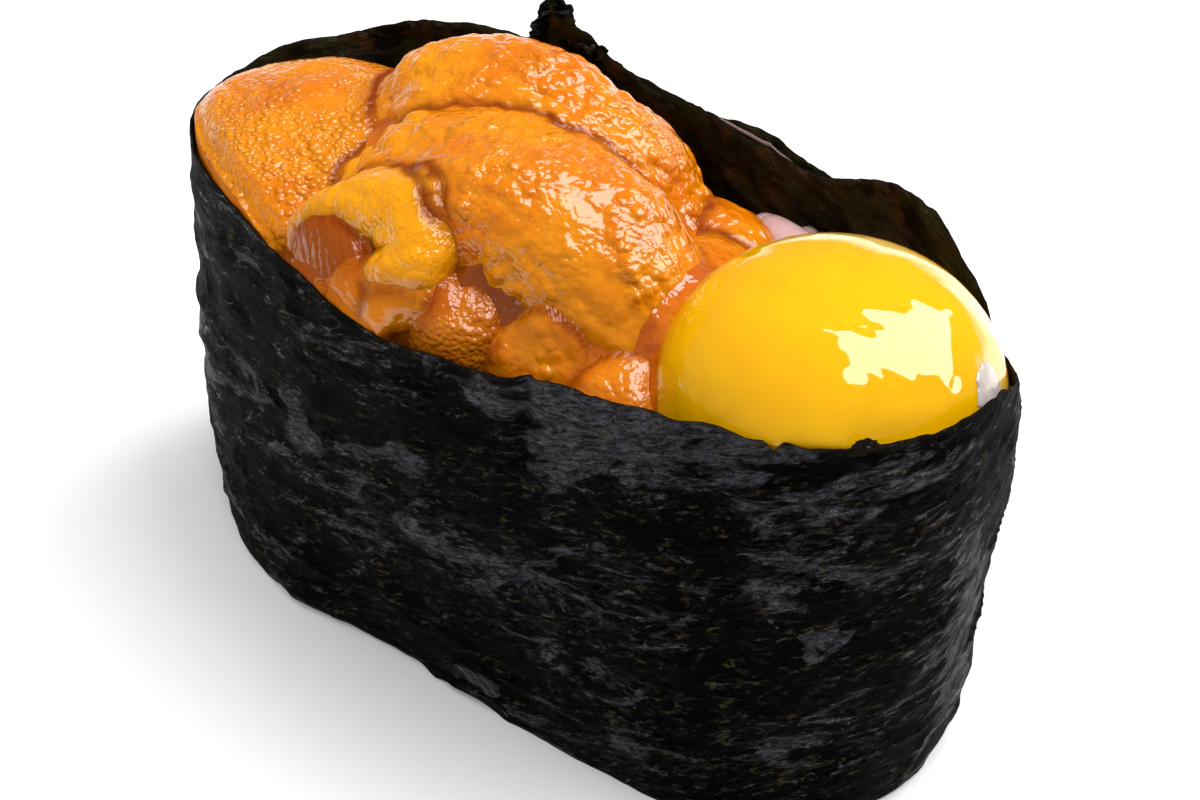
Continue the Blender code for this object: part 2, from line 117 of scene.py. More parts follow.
class Field:
    """Seeded noise in space, for whole arrays of points."""

    axis_factors = (374761393, 668265263, 1440662683)
    seed_factor = 362437
    stir_factor = 1274126177
    octave_seed = 31

    @classmethod
    def corner(cls, cell: Array, seed: int) -> Array:
        """Gives each whole-number cell corner its own fixed value.

        The coordinates and the seed are multiplied by large numbers and added, and the bits are stirred.

        Args:
            cell: Whole-number corners, three to a row.
            seed: Which of the endless patterns to use.

        Returns:
            Values from -1 to 1.
        """
        x, y, z = (cell[..., k] * factor for k, factor in enumerate(cls.axis_factors))
        mixed = x + y + z + seed * cls.seed_factor
        mixed = np.bitwise_and(mixed ^ (mixed >> 13), 0xFFFFFFFF) * cls.stir_factor
        return np.bitwise_and(mixed ^ (mixed >> 16), 0xFFFF) / 32767.5 - 1.0

    @classmethod
    def value(cls, points: Array, size: float, seed: int = 0) -> Array:
        """Blends the eight corner values round each point by eased shares.

        Args:
            points: Points in millimetres, three to a row.
            size: Edge of one cell in millimetres.
            seed: Which pattern to use.

        Returns:
            Smooth values from -1 to 1.
        """
        scaled = points / size
        cell = np.floor(scaled).astype(np.int64)
        blend = ease(scaled - cell)
        total = np.zeros(points.shape[:-1])
        for corner in itertools.product((0, 1), repeat=3):
            weight = np.prod(np.where(corner, blend, 1 - blend), axis=-1)
            total += weight * cls.corner(cell + np.array(corner), seed)
        return total

    @classmethod
    def fractal(cls, points: Array, size: float, octaves: int, seed: int = 0, gain: float = 0.5) -> Array:
        """Adds octaves of smooth noise, each half the size of the last and weaker by the gain.

        Args:
            points: Points in millimetres.
            size: Cell of the largest octave.
            octaves: How many to add.
            seed: Which pattern to use.
            gain: Strength of each octave beside the one before it.

        Returns:
            Values of about -1 to 1.
        """
        layers = [
            cls.value(points, size / 2**k, seed + cls.octave_seed * k) * gain**k for k in range(octaves)
        ]
        return sum(layers) / sum(gain**k for k in range(octaves))

    @classmethod
    def ridges(cls, points: Array, size: float, octaves: int, seed: int = 0) -> Array:
        """Gives one less 2.2 times the size of smooth noise, whose zero lines stand up as sharp creases."""
        return 1.0 - np.minimum(1.0, 2.2 * np.abs(cls.fractal(points, size, octaves, seed)))

    @classmethod
    def cells(cls, points: Array, size: float, seed: int = 0, jitter: float = 0.8) -> Array:
        """Measures how near each point lies to the nearest of a field of scattered dots, one to a cell.

        Args:
            points: Points in millimetres.
            size: Edge of one cell in millimetres.
            seed: Which pattern to use.
            jitter: How far a dot may leave its cell's middle, as a share of the cell.

        Returns:
            Distance to the nearest dot, in cells.
        """
        scaled = points / size
        cell = np.floor(scaled).astype(np.int64)
        nearest = np.full(points.shape[:-1], 9.0)
        for step in itertools.product((-1, 0, 1), repeat=3):
            near = cell + np.array(step)
            offset = np.stack([cls.corner(near, seed + k) for k in range(3)], -1)
            away = near + 0.5 + 0.5 * jitter * offset - scaled
            nearest = np.minimum(nearest, np.einsum("...i,...i->...", away, away))
        return np.sqrt(nearest)


@dataclass(frozen=True)
class Band:
    """The nori's wall: ovals at rim and foot, pushed in and out, with the strip's turns and heights."""

    rim_centre: tuple[float, float] = (-0.1, 0.45)
    rim_size: tuple[float, float] = (30.7, 14.4)
    rim_power: float = 2.0
    foot_centre: tuple[float, float] = (-2.0, -0.1)
    foot_size: tuple[float, float] = (29.0, 13.3)
    foot_power: float = 2.5
    height: float = 32.0
    thickness: float = 0.4
    start_angle: float = 115.0
    strip_turn: float = 405.0
    overlap_step: float = 0.8
    step_begins: float = 293.0
    step_ends: float = 355.0
    dent_depth: float = 0.3
    dent_size: float = 7.0
    foot_lift: float = 0.6
    foot_lift_size: float = 6.0
    corrections: int = 4
    offsets: tuple[tuple[float, float, float, float], ...] = (
        (0, -1.3, 0.8, -1.0), (30, -0.7, 0.4, -0.7), (60, 0.1, 0.0, -0.7), (90, -0.1, 0.0, 0.4),
        (105, 0.0, 0.0, 0.7), (135, 0.35, 0.0, -0.6), (150, 0.2, 0.0, -0.7), (180, 0.1, 0.2, 0.8),
        (195, 0.0, 0.5, -0.1), (210, -0.4, 0.2, -0.5), (225, -0.8, 0.0, -0.1), (243, -0.8, 0.0, 0.3),
        (255, 0.0, 0.0, -0.5), (270, 0.2, 0.0, -0.5), (285, 0.1, 0.0, 0.8), (300, 0.0, 0.0, 1.9),
        (318, 0.4, 0.2, 1.1), (340, 0.0, 0.5, 0.1),
    )
    rim_heights: tuple[tuple[float, float], ...] = (
        (0, 35.2), (3, 35.3), (7, 33.6), (12, 31.9), (25, 30.6), (40, 30.1), (55, 32.4), (70, 30.4),
        (85, 28.0), (100, 29.8), (115, 32.0), (145, 32.1), (160, 31.9), (175, 32.0), (190, 32.3),
        (205, 30.7), (220, 29.4), (235, 30.1), (265, 30.1), (295, 30.1), (325, 30.9), (348, 32.1),
        (367, 31.6), (385, 30.2), (395, 30.0), (405, 29.6),
    )

    @staticmethod
    def _oval(angle: Array, size: tuple[float, float], power: float) -> tuple[Array, Array]:
        """Draws an oval whose two coordinates are powers of the cosine and sine.

        Args:
            angle: Places round it in degrees.
            size: Half length and half width.
            power: 2 for an ellipse, more for squarer shoulders.

        Returns:
            Its points and its outward normals in plan.
        """
        c, s = np.cos(np.radians(angle)), np.sin(np.radians(angle))
        x = size[0] * np.sign(c) * np.abs(c) ** (2 / power)
        y = size[1] * np.sign(s) * np.abs(s) ** (2 / power)
        normal = np.stack([c / size[0], s / size[1]], -1)
        return np.stack([x, y], -1), normal / np.linalg.norm(normal, axis=-1, keepdims=True)

    def wall(self, angle: Array, height: Array, outward: Union[float, Array]) -> Array:
        """Places points on the wall: a straight blend from foot oval to rim oval, moved along its normal.

        Args:
            angle: Places round the plan in degrees.
            height: Heights in millimetres.
            outward: How far outside the wall's middle surface.

        Returns:
            The points.
        """
        rim, rim_normal = self._oval(angle, self.rim_size, self.rim_power)
        foot, foot_normal = self._oval(angle, self.foot_size, self.foot_power)
        table = np.array(self.offsets, float)
        turn = np.zeros(table.shape[1])
        turn[0] = 360.0
        thrice = np.concatenate([table - turn, table, table + turn])
        rim_out, middle_out, foot_out = between(thrice, np.mod(angle, 360.0))
        s = height / self.height
        share = s[..., None]
        plan = (1 - share) * (foot + np.array(self.foot_centre)) + share * (rim + np.array(self.rim_centre))
        normal = (1 - share) * foot_normal + share * rim_normal
        smooth = np.concatenate([plan, height[..., None]], -1)
        shift = (1 - s) * foot_out + s * rim_out + 4 * np.maximum(s * (1 - s), 0) * middle_out
        shift = shift + self.dent_depth * Field.value(smooth, self.dent_size) + outward
        return np.concatenate([plan + normal * shift[..., None], height[..., None]], -1)

    def rim_height(self, turn: Array) -> Array:
        """Reads the rim's height in millimetres at places along the strip, in degrees from its start."""
        return between(self.rim_heights, turn)[0]

    def lift(self, angle: Array) -> Array:
        """Reads how far the foot's edge stands off the ground.

        Args:
            angle: Places round the plan in degrees.

        Returns:
            Heights in millimetres, most of them 0.
        """
        plan, _ = self._oval(angle, self.rim_size, self.rim_power)
        at = np.concatenate([plan, np.zeros(plan.shape[:-1] + (1,))], -1)
        return self.foot_lift * np.clip(Field.value(at, self.foot_lift_size, 3), 0, 1)

    def step(self, turn: Array) -> Array:
        """Reads how far the strip has spiralled outward at a turn, an eased ramp before the overlap."""
        return self.overlap_step * ease((turn - self.step_begins) / (self.step_ends - self.step_begins))

    def press_inside(self, points: Array, gap: float) -> Array:
        """Scales points towards the band's middle where they lie outside its inner face.

        The wall point on a point's own bearing is found by correcting the angle a few times by its miss.

        Args:
            points: Points of any shape, three to a row.
            gap: Room to leave inside the inner face.

        Returns:
            The pressed points.
        """
        share = np.clip(points[..., 2:3] / self.height, 0, 1.2)
        centre = (1 - share) * np.array(self.foot_centre) + share * np.array(self.rim_centre)

        def bearing(plan: Array) -> Array:
            """Gives the angle of places round the centre, on the rim oval's own scale."""
            return np.arctan2(plan[..., 1] / self.rim_size[1], plan[..., 0] / self.rim_size[0])

        wanted = bearing(points[..., :2] - centre)
        angle = np.degrees(wanted)
        for _ in range(self.corrections):
            face = self.wall(angle, points[..., 2], -(self.thickness / 2 + gap))[..., :2]
            miss = wanted - bearing(face - centre)
            angle = angle + np.degrees(np.arctan2(np.sin(miss), np.cos(miss)))
        reach = np.linalg.norm(points[..., :2] - centre, axis=-1)
        room = np.linalg.norm(face - centre, axis=-1)
        pressed = points.copy()
        pull = np.minimum(1.0, room / np.maximum(reach, 1e-6))[..., None]
        pressed[..., :2] = centre + (points[..., :2] - centre) * pull
        return pressed


@dataclass
class Skin:
    """A closed surface: points, faces of four corners (the last is -1 in a triangle) and named values."""

    points: Array
    faces: Array
    values: dict[str, Array] = field(default_factory=dict)

    @classmethod
    def over(cls, first: Array, rings: Array, last: Array) -> "Skin":
        """Closes rings of points with a pole at each end.

        Faces turn outward where a ring runs right-handed about the way from the first pole to the last.

        Args:
            first: The first pole.
            rings: Rings of points, as rings by sides by three.
            last: The last pole.

        Returns:
            The closed surface.
        """
        count, sides = rings.shape[:2]
        around = np.arange(sides)
        after = (around + 1) % sides
        rows = 1 + sides * np.arange(count - 1)[:, None]
        above = rows + sides
        quads = np.stack([rows + around, rows + after, above + after, above + around], -1).reshape(-1, 4)
        end = 1 + count * sides
        ring = end - sides
        none = np.full(sides, -1)
        start_fan = np.stack([np.zeros(sides, int), 1 + after, 1 + around, none], -1)
        end_fan = np.stack([np.full(sides, end), ring + around, ring + after, none], -1)
        points = np.concatenate([first.reshape(1, 3), rings.reshape(-1, 3), last.reshape(1, 3)])
        return cls(points, np.concatenate([start_fan, quads, end_fan]))

    @classmethod
    def joined(cls, skins: Sequence["Skin"]) -> "Skin":
        """Puts several surfaces in one mesh, as they are.

        Args:
            skins: The surfaces, all with the same named values.

        Returns:
            One surface that holds them all.
        """
        starts = np.cumsum([0] + [len(s.points) for s in skins[:-1]])
        faces = [np.where(s.faces >= 0, s.faces + start, -1) for s, start in zip(skins, starts)]
        values = {key: np.concatenate([s.values[key] for s in skins]) for key in skins[0].values}
        return cls(np.concatenate([s.points for s in skins]), np.concatenate(faces), values)

    def normals(self) -> Array:
        """Adds up the cross products of each face's two diagonals at its corners.

        Returns:
            A unit normal for each point.
        """
        quad = self.faces[:, 3] >= 0
        fourth = np.where(quad, self.faces[:, 3], self.faces[:, 0])
        a, b, c, d = (self.points[i] for i in (self.faces[:, 0], self.faces[:, 1], self.faces[:, 2], fourth))
        flat = np.cross(c - a, d - b)
        flat[~quad] = np.cross(b - a, c - a)[~quad]
        total = np.zeros_like(self.points)
        for k in range(3):
            np.add.at(total, self.faces[:, k], flat)
        np.add.at(total, fourth[quad], flat[quad])
        return total / np.maximum(np.linalg.norm(total, axis=1, keepdims=True), 1e-12)

    def object(self, name: str) -> bpy.types.Object:
        """Makes the mesh object, in metres and smooth shaded.

        Args:
            name: The piece's name.

        Returns:
            The new object, in the scene.
        """
        mesh = bpy.data.meshes.new(name)
        loops = self.faces[self.faces >= 0]
        sizes = (self.faces >= 0).sum(axis=1)
        mesh.vertices.add(len(self.points))
        mesh.vertices.foreach_set("co", ((self.points + LAYOUT_SHIFT) * MM).astype(np.float32).ravel())
        mesh.loops.add(len(loops))
        mesh.loops.foreach_set("vertex_index", loops.astype(np.int32))
        mesh.polygons.add(len(sizes))
        mesh.polygons.foreach_set("loop_start", np.concatenate([[0], np.cumsum(sizes)[:-1]]).astype(np.int32))
        mesh.update(calc_edges=True)
        mesh.validate()
        mesh.shade_smooth()
        for key, value in self.values.items():
            layer = mesh.attributes.new(key, "FLOAT", "POINT")
            layer.data.foreach_set("value", value.astype(np.float32))
        made = bpy.data.objects.new(name, mesh)
        bpy.context.scene.collection.objects.link(made)
        return made


Ground = Callable[[Array, Array, Array], Array]


@dataclass(frozen=True)
class Patch:
    """A thin closed piece with a ragged outline, laid on any ground."""

    half_length: float
    half_width: float
    thickness: float
    ragged: float = 0.3
    crown: float = 0.0
    seed: int = 0
    rings: int = 14
    sides: int = 72

    def skin(self, ground: Ground, values: dict[str, float]) -> Skin:
        """Lays the piece on the ground.

        Its outline is an ellipse scaled by noise round it, and its edge closes as the root of one less the
        sixth power of the way out.

        Args:
            ground: The ground's map.
            values: Named values, the same over the whole piece.

        Returns:
            The closed surface.
        """
        turn = 2 * np.pi * np.arange(self.sides) / self.sides
        circle = np.stack([np.cos(turn), np.sin(turn), np.zeros(self.sides)], -1)
        outline = 1 + self.ragged * Field.fractal(circle + 7.0 * self.seed, 0.8, 4, self.seed, 0.7)
        share = np.linspace(0, 1, self.rings + 1)[1:, None]
        u = self.half_length * share * outline * np.cos(turn)
        v = self.half_width * share * outline * np.sin(turn)
        half = 0.5 * self.thickness * np.sqrt(np.clip(1 - share**6, 0.02, 1)) * np.ones(self.sides)
        dome = self.crown * (1 - share**2) * np.ones(self.sides)
        upper, lower = ground(u, v, dome + half), ground(u, v, -half)
        zero = np.zeros(1)
        first = ground(zero, zero, zero - self.thickness / 2)
        last = ground(zero, zero, zero + self.thickness / 2 + self.crown)
        skin = Skin.over(first, np.concatenate([lower, upper[::-1]]), last)
        skin.values = {key: np.full(len(skin.points), value) for key, value in values.items()}
        if "edge" in skin.values:
            rim = np.concatenate([ease((share - 0.8) / 0.2) * np.ones(self.sides)] * 2)
            rim[self.rings :] = rim[self.rings :][::-1]
            skin.values["edge"] = np.maximum(skin.values["edge"], np.concatenate([[0], rim.ravel(), [0]]))
        if "along" in skin.values:
            skin.values["along"] = skin.values["along"] + skin.points[:, 0] + 0.7 * skin.points[:, 1]
            skin.values["up"] = skin.values["up"] + skin.points[:, 2]
        return skin


Number = Union[float, int, "Socket"]


class Socket:
    """One shader output, which arithmetic turns into further nodes."""

    def __init__(self, graph: "Graph", output: Any) -> None:
        """Wraps a Blender output and the graph that it belongs to."""
        self.graph = graph
        self.output = output

    def __add__(self, other: Number) -> "Socket":
        """Adds a value or output to this one."""
        return self.graph.math(Operation.ADD, self, other)

    def __radd__(self, other: Number) -> "Socket":
        """Adds this one to a value."""
        return self.graph.math(Operation.ADD, other, self)

    def __sub__(self, other: Number) -> "Socket":
        """Takes a value or output from this one."""
        return self.graph.math(Operation.SUBTRACT, self, other)

    def __rsub__(self, other: Number) -> "Socket":
        """Takes this one from a value."""
        return self.graph.math(Operation.SUBTRACT, other, self)

    def __mul__(self, other: Number) -> "Socket":
        """Multiplies this one by a value or output."""
        return self.graph.math(Operation.MULTIPLY, self, other)

    def __rmul__(self, other: Number) -> "Socket":
        """Multiplies a value by this one."""
        return self.graph.math(Operation.MULTIPLY, other, self)

    def __pow__(self, other: Number) -> "Socket":
        """Raises this one to a power."""
        return self.graph.math(Operation.POWER, self, other)

    def __rpow__(self, other: Number) -> "Socket":
        """Raises a value to this one's power."""
        return self.graph.math(Operation.POWER, other, self)

    def __neg__(self) -> "Socket":
        """Turns the sign round."""
        return self.graph.math(Operation.MULTIPLY, self, -1.0)

    def clipped(self) -> "Socket":
        """Holds the value between 0 and 1."""
        raised = self.graph.math(Operation.MAXIMUM, self, 0.0)
        return self.graph.math(Operation.MINIMUM, raised, 1.0)

    def ramp(self, low: float, high: float) -> "Socket":
        """Eases from 0 at low to 1 at high.

        Args:
            low: Where it leaves 0.
            high: Where it reaches 1.

        Returns:
            The eased value.
        """
        return self.graph.node(
            "ShaderNodeMapRange",
            {"interpolation_type": "SMOOTHSTEP"},
            {"Value": self, "From Min": low, "From Max": high},
            "Result",
        )


class Graph:
    """One material's nodes."""

    def __init__(self, name: str) -> None:
        """Starts an empty node material.

        Args:
            name: The material's name.
        """
        self.material = bpy.data.materials.new(name)
        self.material.use_nodes = True
        self.tree = self.material.node_tree
        self.tree.nodes.clear()

    def node(self, kind: str, settings: dict[str, Any], inputs: dict[Any, Any], output: Any = 0) -> Socket:
        """Makes any node: its settings first, then its values and links.

        Args:
            kind: Blender's name for the node.
            settings: Properties of the node.
            inputs: Values or sockets, by input name or number.
            output: Which output to hand back, by name or number.

        Returns:
            That output.
        """
        made = self.tree.nodes.new(kind)
        for key, value in settings.items():
            setattr(made, key, value)
        for key, value in inputs.items():
            if isinstance(value, Socket):
                self.tree.links.new(value.output, made.inputs[key])
            else:
                made.inputs[key].default_value = value
        return Socket(self, made.outputs[output])

    def math(self, operation: Operation, first: Number, second: Number) -> Socket:
        """Makes one Math node, an operation on two values."""
        return self.node("ShaderNodeMath", {"operation": operation.value}, {0: first, 1: second})

    def value(self, name: str) -> Socket:
        """Reads one of the mesh's named values."""
        return self.node("ShaderNodeAttribute", {"attribute_name": name}, {}, "Fac")

    def place(self) -> Socket:
        """Gives the point on the object, in metres."""
        return self.node("ShaderNodeTexCoord", {}, {}, "Object")

    def vector(self, x: Number, y: Number, z: Number) -> Socket:
        """Joins three values in a vector."""
        return self.node("ShaderNodeCombineXYZ", {}, {0: x, 1: y, 2: z})

    def noise(
        self, at: Socket, size: float, detail: float = 2.0, roughness: float = 0.5, bend: float = 0.0
    ) -> Socket:
        """Makes fractal noise of a given size.

        Args:
            at: Where, in the same unit as size.
            size: Size of its largest lumps.
            detail: Octaves below them.
            roughness: Strength of the finer octaves.
            bend: How far it distorts itself.

        Returns:
            Values round 0.5.
        """
        inputs = {
            "Vector": at,
            "Scale": 1.0 / size,
            "Detail": detail,
            "Roughness": roughness,
            "Distortion": bend,
        }
        return self.node("ShaderNodeTexNoise", {}, inputs, "Fac")

    def cells(self, at: Socket, size: float) -> Socket:
        """Measures the distance to the nearest of a field of scattered dots, in spacings of that size."""
        return self.node("ShaderNodeTexVoronoi", {}, {"Vector": at, "Scale": 1.0 / size}, "Distance")

    def domes(self, at: Socket, size: float, steepness: float) -> Socket:
        """Raises a dome on each of a field of dots: one less the steepness times the squared distance."""
        away = self.cells(at, size)
        return (1.0 - away * away * steepness).clipped()

    def mix(self, share: Number, first: Union[Colour, Socket], second: Union[Colour, Socket]) -> Socket:
        """Mixes two colours, each a colour or an output, by a share of the second."""
        first, second = (c if isinstance(c, Socket) else (*c, 1.0) for c in (first, second))
        return self.node("ShaderNodeMix", {"data_type": "RGBA"}, {0: share, 6: first, 7: second}, 2)

    def bump(self, height: Socket, depth: float, under: Optional[Socket] = None) -> Socket:
        """Tilts the surface by a height pattern.

        Args:
            height: The pattern, about 0 to 1.
            depth: What a height of 1 is, in metres.
            under: A bump that this one rides on.

        Returns:
            The normal.
        """
        inputs: dict[Any, Any] = {"Strength": 1.0, "Distance": depth, "Height": height}
        if under is not None:
            inputs["Normal"] = under
        return self.node("ShaderNodeBump", {}, inputs)

    def principled(self, **inputs: Any) -> Socket:
        """Makes one Principled shader of values and links, named with underscores for spaces."""
        named = {key.replace("_", " "): value for key, value in inputs.items()}
        return self.node("ShaderNodeBsdfPrincipled", {}, named)

    def blend(self, share: Number, first: Socket, second: Socket) -> Socket:
        """Mixes two shaders by a share of the second."""
        return self.node("ShaderNodeMixShader", {}, {0: share, 1: first, 2: second})

    def finished(self, shader: Socket) -> bpy.types.Material:
        """Ends the graph in a shader.

        Args:
            shader: What the surface shows.

        Returns:
            The finished material.
        """
        end = self.tree.nodes.new("ShaderNodeOutputMaterial")
        self.tree.links.new(shader.output, end.inputs["Surface"])
        return self.material


class Finish:
    """A material that is made once, when first asked for."""

    name: str = "finish"

    def __init__(self) -> None:
        """Leaves the material for later."""
        self._made: Optional[bpy.types.Material] = None

    def build(self) -> bpy.types.Material:
        """Makes the material."""
        raise NotImplementedError

    def material(self) -> bpy.types.Material:
        """Gives the material, made if it isn't yet.

        Returns:
            The material.
        """
        if self._made is None:
            self._made = self.build()
        return self._made


class NoriFinish(Finish):
    """Toasted seaweed: near black, crinkled and fibrous, glossy in ragged patches painted with a lilac sheen
    and streaked with painted grey glints, browner inside.

    Its patterns run on the distance along the strip and the height above the foot, in millimetres.
    """

    name = "nori"
    black: Colour = (0.0006, 0.0006, 0.0008)
    streak_grey: Colour = (0.027, 0.025, 0.024)
    patch_lilac: Colour = (0.062, 0.059, 0.078)
    speck_tan: Colour = (0.088, 0.066, 0.028)
    inner_dark: Colour = (0.009, 0.006, 0.003)
    inner_brown: Colour = (0.036, 0.026, 0.009)
    inner_olive: Colour = (0.036, 0.034, 0.008)
    inner_rust: Colour = (0.085, 0.034, 0.008)
    torn_edge: Colour = (0.028, 0.022, 0.013)
    faces_apart: float = 40.0

    def inner_colour(self, g: Graph, sheet: Socket, islands: Socket) -> Socket:
        """Mixes the inner face's colour: brown islands, olive spots, and rust where there is no olive.

        Args:
            g: The material's graph.
            sheet: Place on the sheet.
            islands: The islands' pattern.

        Returns:
            The colour.
        """
        colour = g.mix(islands.ramp(0.42, 0.62), self.inner_dark, self.inner_brown)
        olive = g.noise(sheet, size=3.1, detail=3.0, roughness=0.6).ramp(0.48, 0.62)
        colour = g.mix(olive * 0.7, colour, self.inner_olive)
        rust = g.noise(sheet, size=2.0, detail=4.0, roughness=0.6).ramp(0.5, 0.66)
        return g.mix(rust * (1.0 - olive) * 0.8, colour, self.inner_rust)

    def build(self) -> bpy.types.Material:
        """Makes the material: dry, wet and sharply glinting sheet, blended by patches and glints, over a
        colour with a painted lilac sheen on the patches and painted grey glints along the streaks.

        Returns:
            The new material.
        """
        g = Graph(self.name)
        along, up, inside, edge, sheen = (g.value(key) for key in ("along", "up", "inside", "edge", "sheen"))
        lean = up + along * NORI_SLANT
        face = inside * self.faces_apart
        sheet = g.vector(along, up, face)
        flow = g.vector(along * 0.42, lean, face)
        grain = g.vector(along * 0.5, lean * 1.4, face)

        broad = g.noise(sheet, size=9.0) - 0.5
        islands = g.noise(flow, size=2.3, detail=7.0, roughness=0.68, bend=1.1)
        streaks = g.noise(flow, size=0.85, detail=5.0, roughness=0.72, bend=0.9)
        fibre = g.noise(grain, size=0.36, detail=3.0, roughness=0.7, bend=0.5)
        crack = g.noise(sheet, size=2.0, detail=5.0, roughness=0.62, bend=1.6) - 0.5
        whole = 1.0 - (1.0 - crack * crack * 3500.0).clipped() * 0.85
        # Patches: ragged islands, glossier and painted with a lilac sheen; the sheen spots spread them.
        patch = (islands + broad * 0.5 + sheen * 0.24).ramp(0.565, 0.645)
        patch = patch * (0.2 + fibre.ramp(0.36, 0.64) * 0.8) * whole
        patch = patch * (0.5 + streaks.ramp(0.4, 0.58) * 0.5)
        # Painted glints: grey streaks along the wrinkles, coloured as if they caught light.
        painted_glint_streak = (streaks + broad * 0.35 + sheen * 0.06).ramp(0.515, 0.62) * fibre.ramp(0.38, 0.6)
        glint = g.noise(flow, size=0.5, detail=4.0, roughness=0.7, bend=0.6).ramp(0.56, 0.66)
        glint = glint * (islands + broad * 0.4).ramp(0.42, 0.58)
        specks = g.noise(flow, size=0.42, detail=3.0, roughness=0.7).ramp(0.54, 0.66)
        specks = specks * g.noise(sheet, size=2.6, detail=3.0).ramp(0.44, 0.6)

        outer_colour = g.mix(painted_glint_streak * 0.8, self.black, self.streak_grey)
        # Painted sheen: the patches are coloured lilac as if they mirrored light.
        outer_colour = g.mix(patch, outer_colour, self.patch_lilac)
        outer_colour = g.mix(specks * 0.75, outer_colour, self.speck_tan)
        colour = g.mix(inside, outer_colour, self.inner_colour(g, sheet, islands))
        colour = g.mix(edge * 0.5, colour, self.torn_edge)

        normal = g.bump(islands, 0.003)
        normal = g.bump(streaks, 0.0008, normal)
        normal = g.bump(fibre, 0.00025, normal)
        dry, wet, sharp = (
            g.principled(Base_Color=colour, Roughness=roughness, Specular_IOR_Level=gloss, Normal=normal)
            for roughness, gloss in ((0.5, 0.02), (0.33, 0.55), (0.24, 1.0))
        )
        return g.finished(g.blend(glint * 0.9, g.blend(patch * 0.8, dry, wet), sharp))


class UrchinFinish(Finish):
    """Wet sea urchin: orange flesh covered in fine beads, smoother in the creases and darker red there with
    liquor and painted shade.
    """

    name = "uni"
    orange: Colour = (0.56, 0.140, 0.0006)
    amber: Colour = (0.61, 0.195, 0.001)
    mottled: Colour = (0.66, 0.255, 0.006)
    yellow: Colour = (0.74, 0.300, 0.001)
    brown: Colour = (0.20, 0.036, 0.002)
    crease_red: Colour = (0.30, 0.052, 0.0012)
    line_red: Colour = (0.14, 0.014, 0.0006)
    bead_depth: float = 0.00026
    rough_depth: float = 0.00036

    def flesh_colour(self, g: Graph, at: Socket, crease: Socket, tone: Socket, line: Socket) -> Socket:
        """Mixes the flesh's colour: clouded orange with painted highlight mottle, yellower or browner by
        tone, darker red in creases with liquor and painted shade, and a painted shade line where tongues
        meet.

        Args:
            g: The material's graph.
            at: Place on the piece.
            crease: Nearness to a crease, darkened with liquor and painted shade.
            tone: From -1, brown, to 1, yellow.
            line: Nearness to the line where two tongues meet, painted as a dark red line of shade.

        Returns:
            The colour.
        """
        cloud = g.noise(at, size=0.005, detail=3.0, roughness=0.55)
        mottle = g.noise(at, size=0.0011, detail=3.0, roughness=0.6)
        colour = g.mix(cloud.ramp(0.38, 0.62), self.orange, self.amber)
        # Painted highlights: a paler mottle scattered over the flesh.
        colour = g.mix(mottle.ramp(0.5, 0.7) * 0.45, colour, self.mottled)
        colour = g.mix(tone.clipped(), colour, self.yellow)
        colour = g.mix((-tone).clipped(), colour, self.brown)
        # Darker red in creases: partly liquor, partly painted shade.
        colour = g.mix((crease * 0.85).clipped(), colour, self.crease_red)
        # Painted shade: a dark red line where two tongues meet.
        return g.mix(line * cloud.ramp(0.3, 0.5) * 0.9, colour, self.line_red)

    def build(self) -> bpy.types.Material:
        """Makes the material: wet beaded flesh, dull where it is pressed, brown or in a line.

        Returns:
            The new material.
        """
        g = Graph(self.name)
        at = g.place()
        crease, tone, beads, ribs = (g.value(key) for key in ("crease", "tone", "beads", "ribs"))
        line, side, coarse = (g.value(key) for key in ("line", "side", "coarse"))
        colour = self.flesh_colour(g, at, crease, tone, line)

        large = g.domes(at, 0.00056, 2.3)
        small = g.domes(at, 0.00037, 2.6)
        broad = g.domes(at, 0.00105, 2.0) ** 1.7 * coarse * g.noise(at, size=0.0034).ramp(0.4, 0.56)
        wide = g.noise(at, size=0.003).ramp(0.42, 0.58)
        fine = (large * wide + small * (1.0 - wide) * 0.6) * beads
        rough = g.noise(at, size=0.0015, bend=0.4) * (0.5 + beads * 0.5) * (1.0 - coarse * 0.4)
        height = fine * (1.0 - coarse * 0.3) + broad * 0.95 + ribs * 0.1 - line * 0.6
        normal = g.bump(height, self.bead_depth, g.bump(rough, self.rough_depth))

        wet = g.principled(
            Base_Color=colour,
            Subsurface_Weight=0.3,
            Subsurface_Radius=(1.0, 0.35, 0.08),
            Subsurface_Scale=0.0014,
            Roughness=0.08 + crease * 0.06,
            Specular_IOR_Level=0.85,
            IOR=1.46,
            Normal=normal,
        )
        matte = g.principled(Base_Color=colour, Roughness=0.7, Specular_IOR_Level=0.05, Normal=normal)
        dull = side + line * 0.75 + (-tone).clipped() * 0.45
        return g.finished(g.blend(dull.clipped(), wet, matte))


class YolkFinish(Finish):
    """Raw yolk in its skin: deep translucent yellow under a clear wet film."""

    name = "yolk"
    yellow: Colour = (0.68, 0.345, 0.0)
    light_yellow: Colour = (0.70, 0.37, 0.0)
    low_orange: Colour = (0.56, 0.22, 0.0)
    film_cream: Colour = (0.66, 0.47, 0.17)

    def build(self) -> bpy.types.Material:
        """Makes the material: a clouded yellow, with painted shade low down and a painted creamy reflection
        along the ribbon behind.

        Returns:
            The new material.
        """
        g = Graph(self.name)
        at = g.place()
        cloud = g.noise(at, size=0.009)
        colour = g.mix(cloud.ramp(0.4, 0.6), self.yellow, self.light_yellow)
        # Painted shade: deeper orange low down the sides.
        colour = g.mix(g.value("low"), colour, self.low_orange)
        # Painted reflection: a creamy ribbon near the outline at the back.
        colour = g.mix(g.value("film"), colour, self.film_cream)
        ripple = g.noise(at, size=0.0066, detail=1.9, roughness=0.4, bend=0.6)
        shader = g.principled(
            Base_Color=colour,
            Subsurface_Weight=0.4,
            Subsurface_Radius=(1.0, 0.55, 0.05),
            Subsurface_Scale=0.003,
            Roughness=0.035,
            Specular_IOR_Level=1.0,
            IOR=1.46,
            Normal=g.bump(ripple, 0.0008),
        )
        return g.finished(shader)


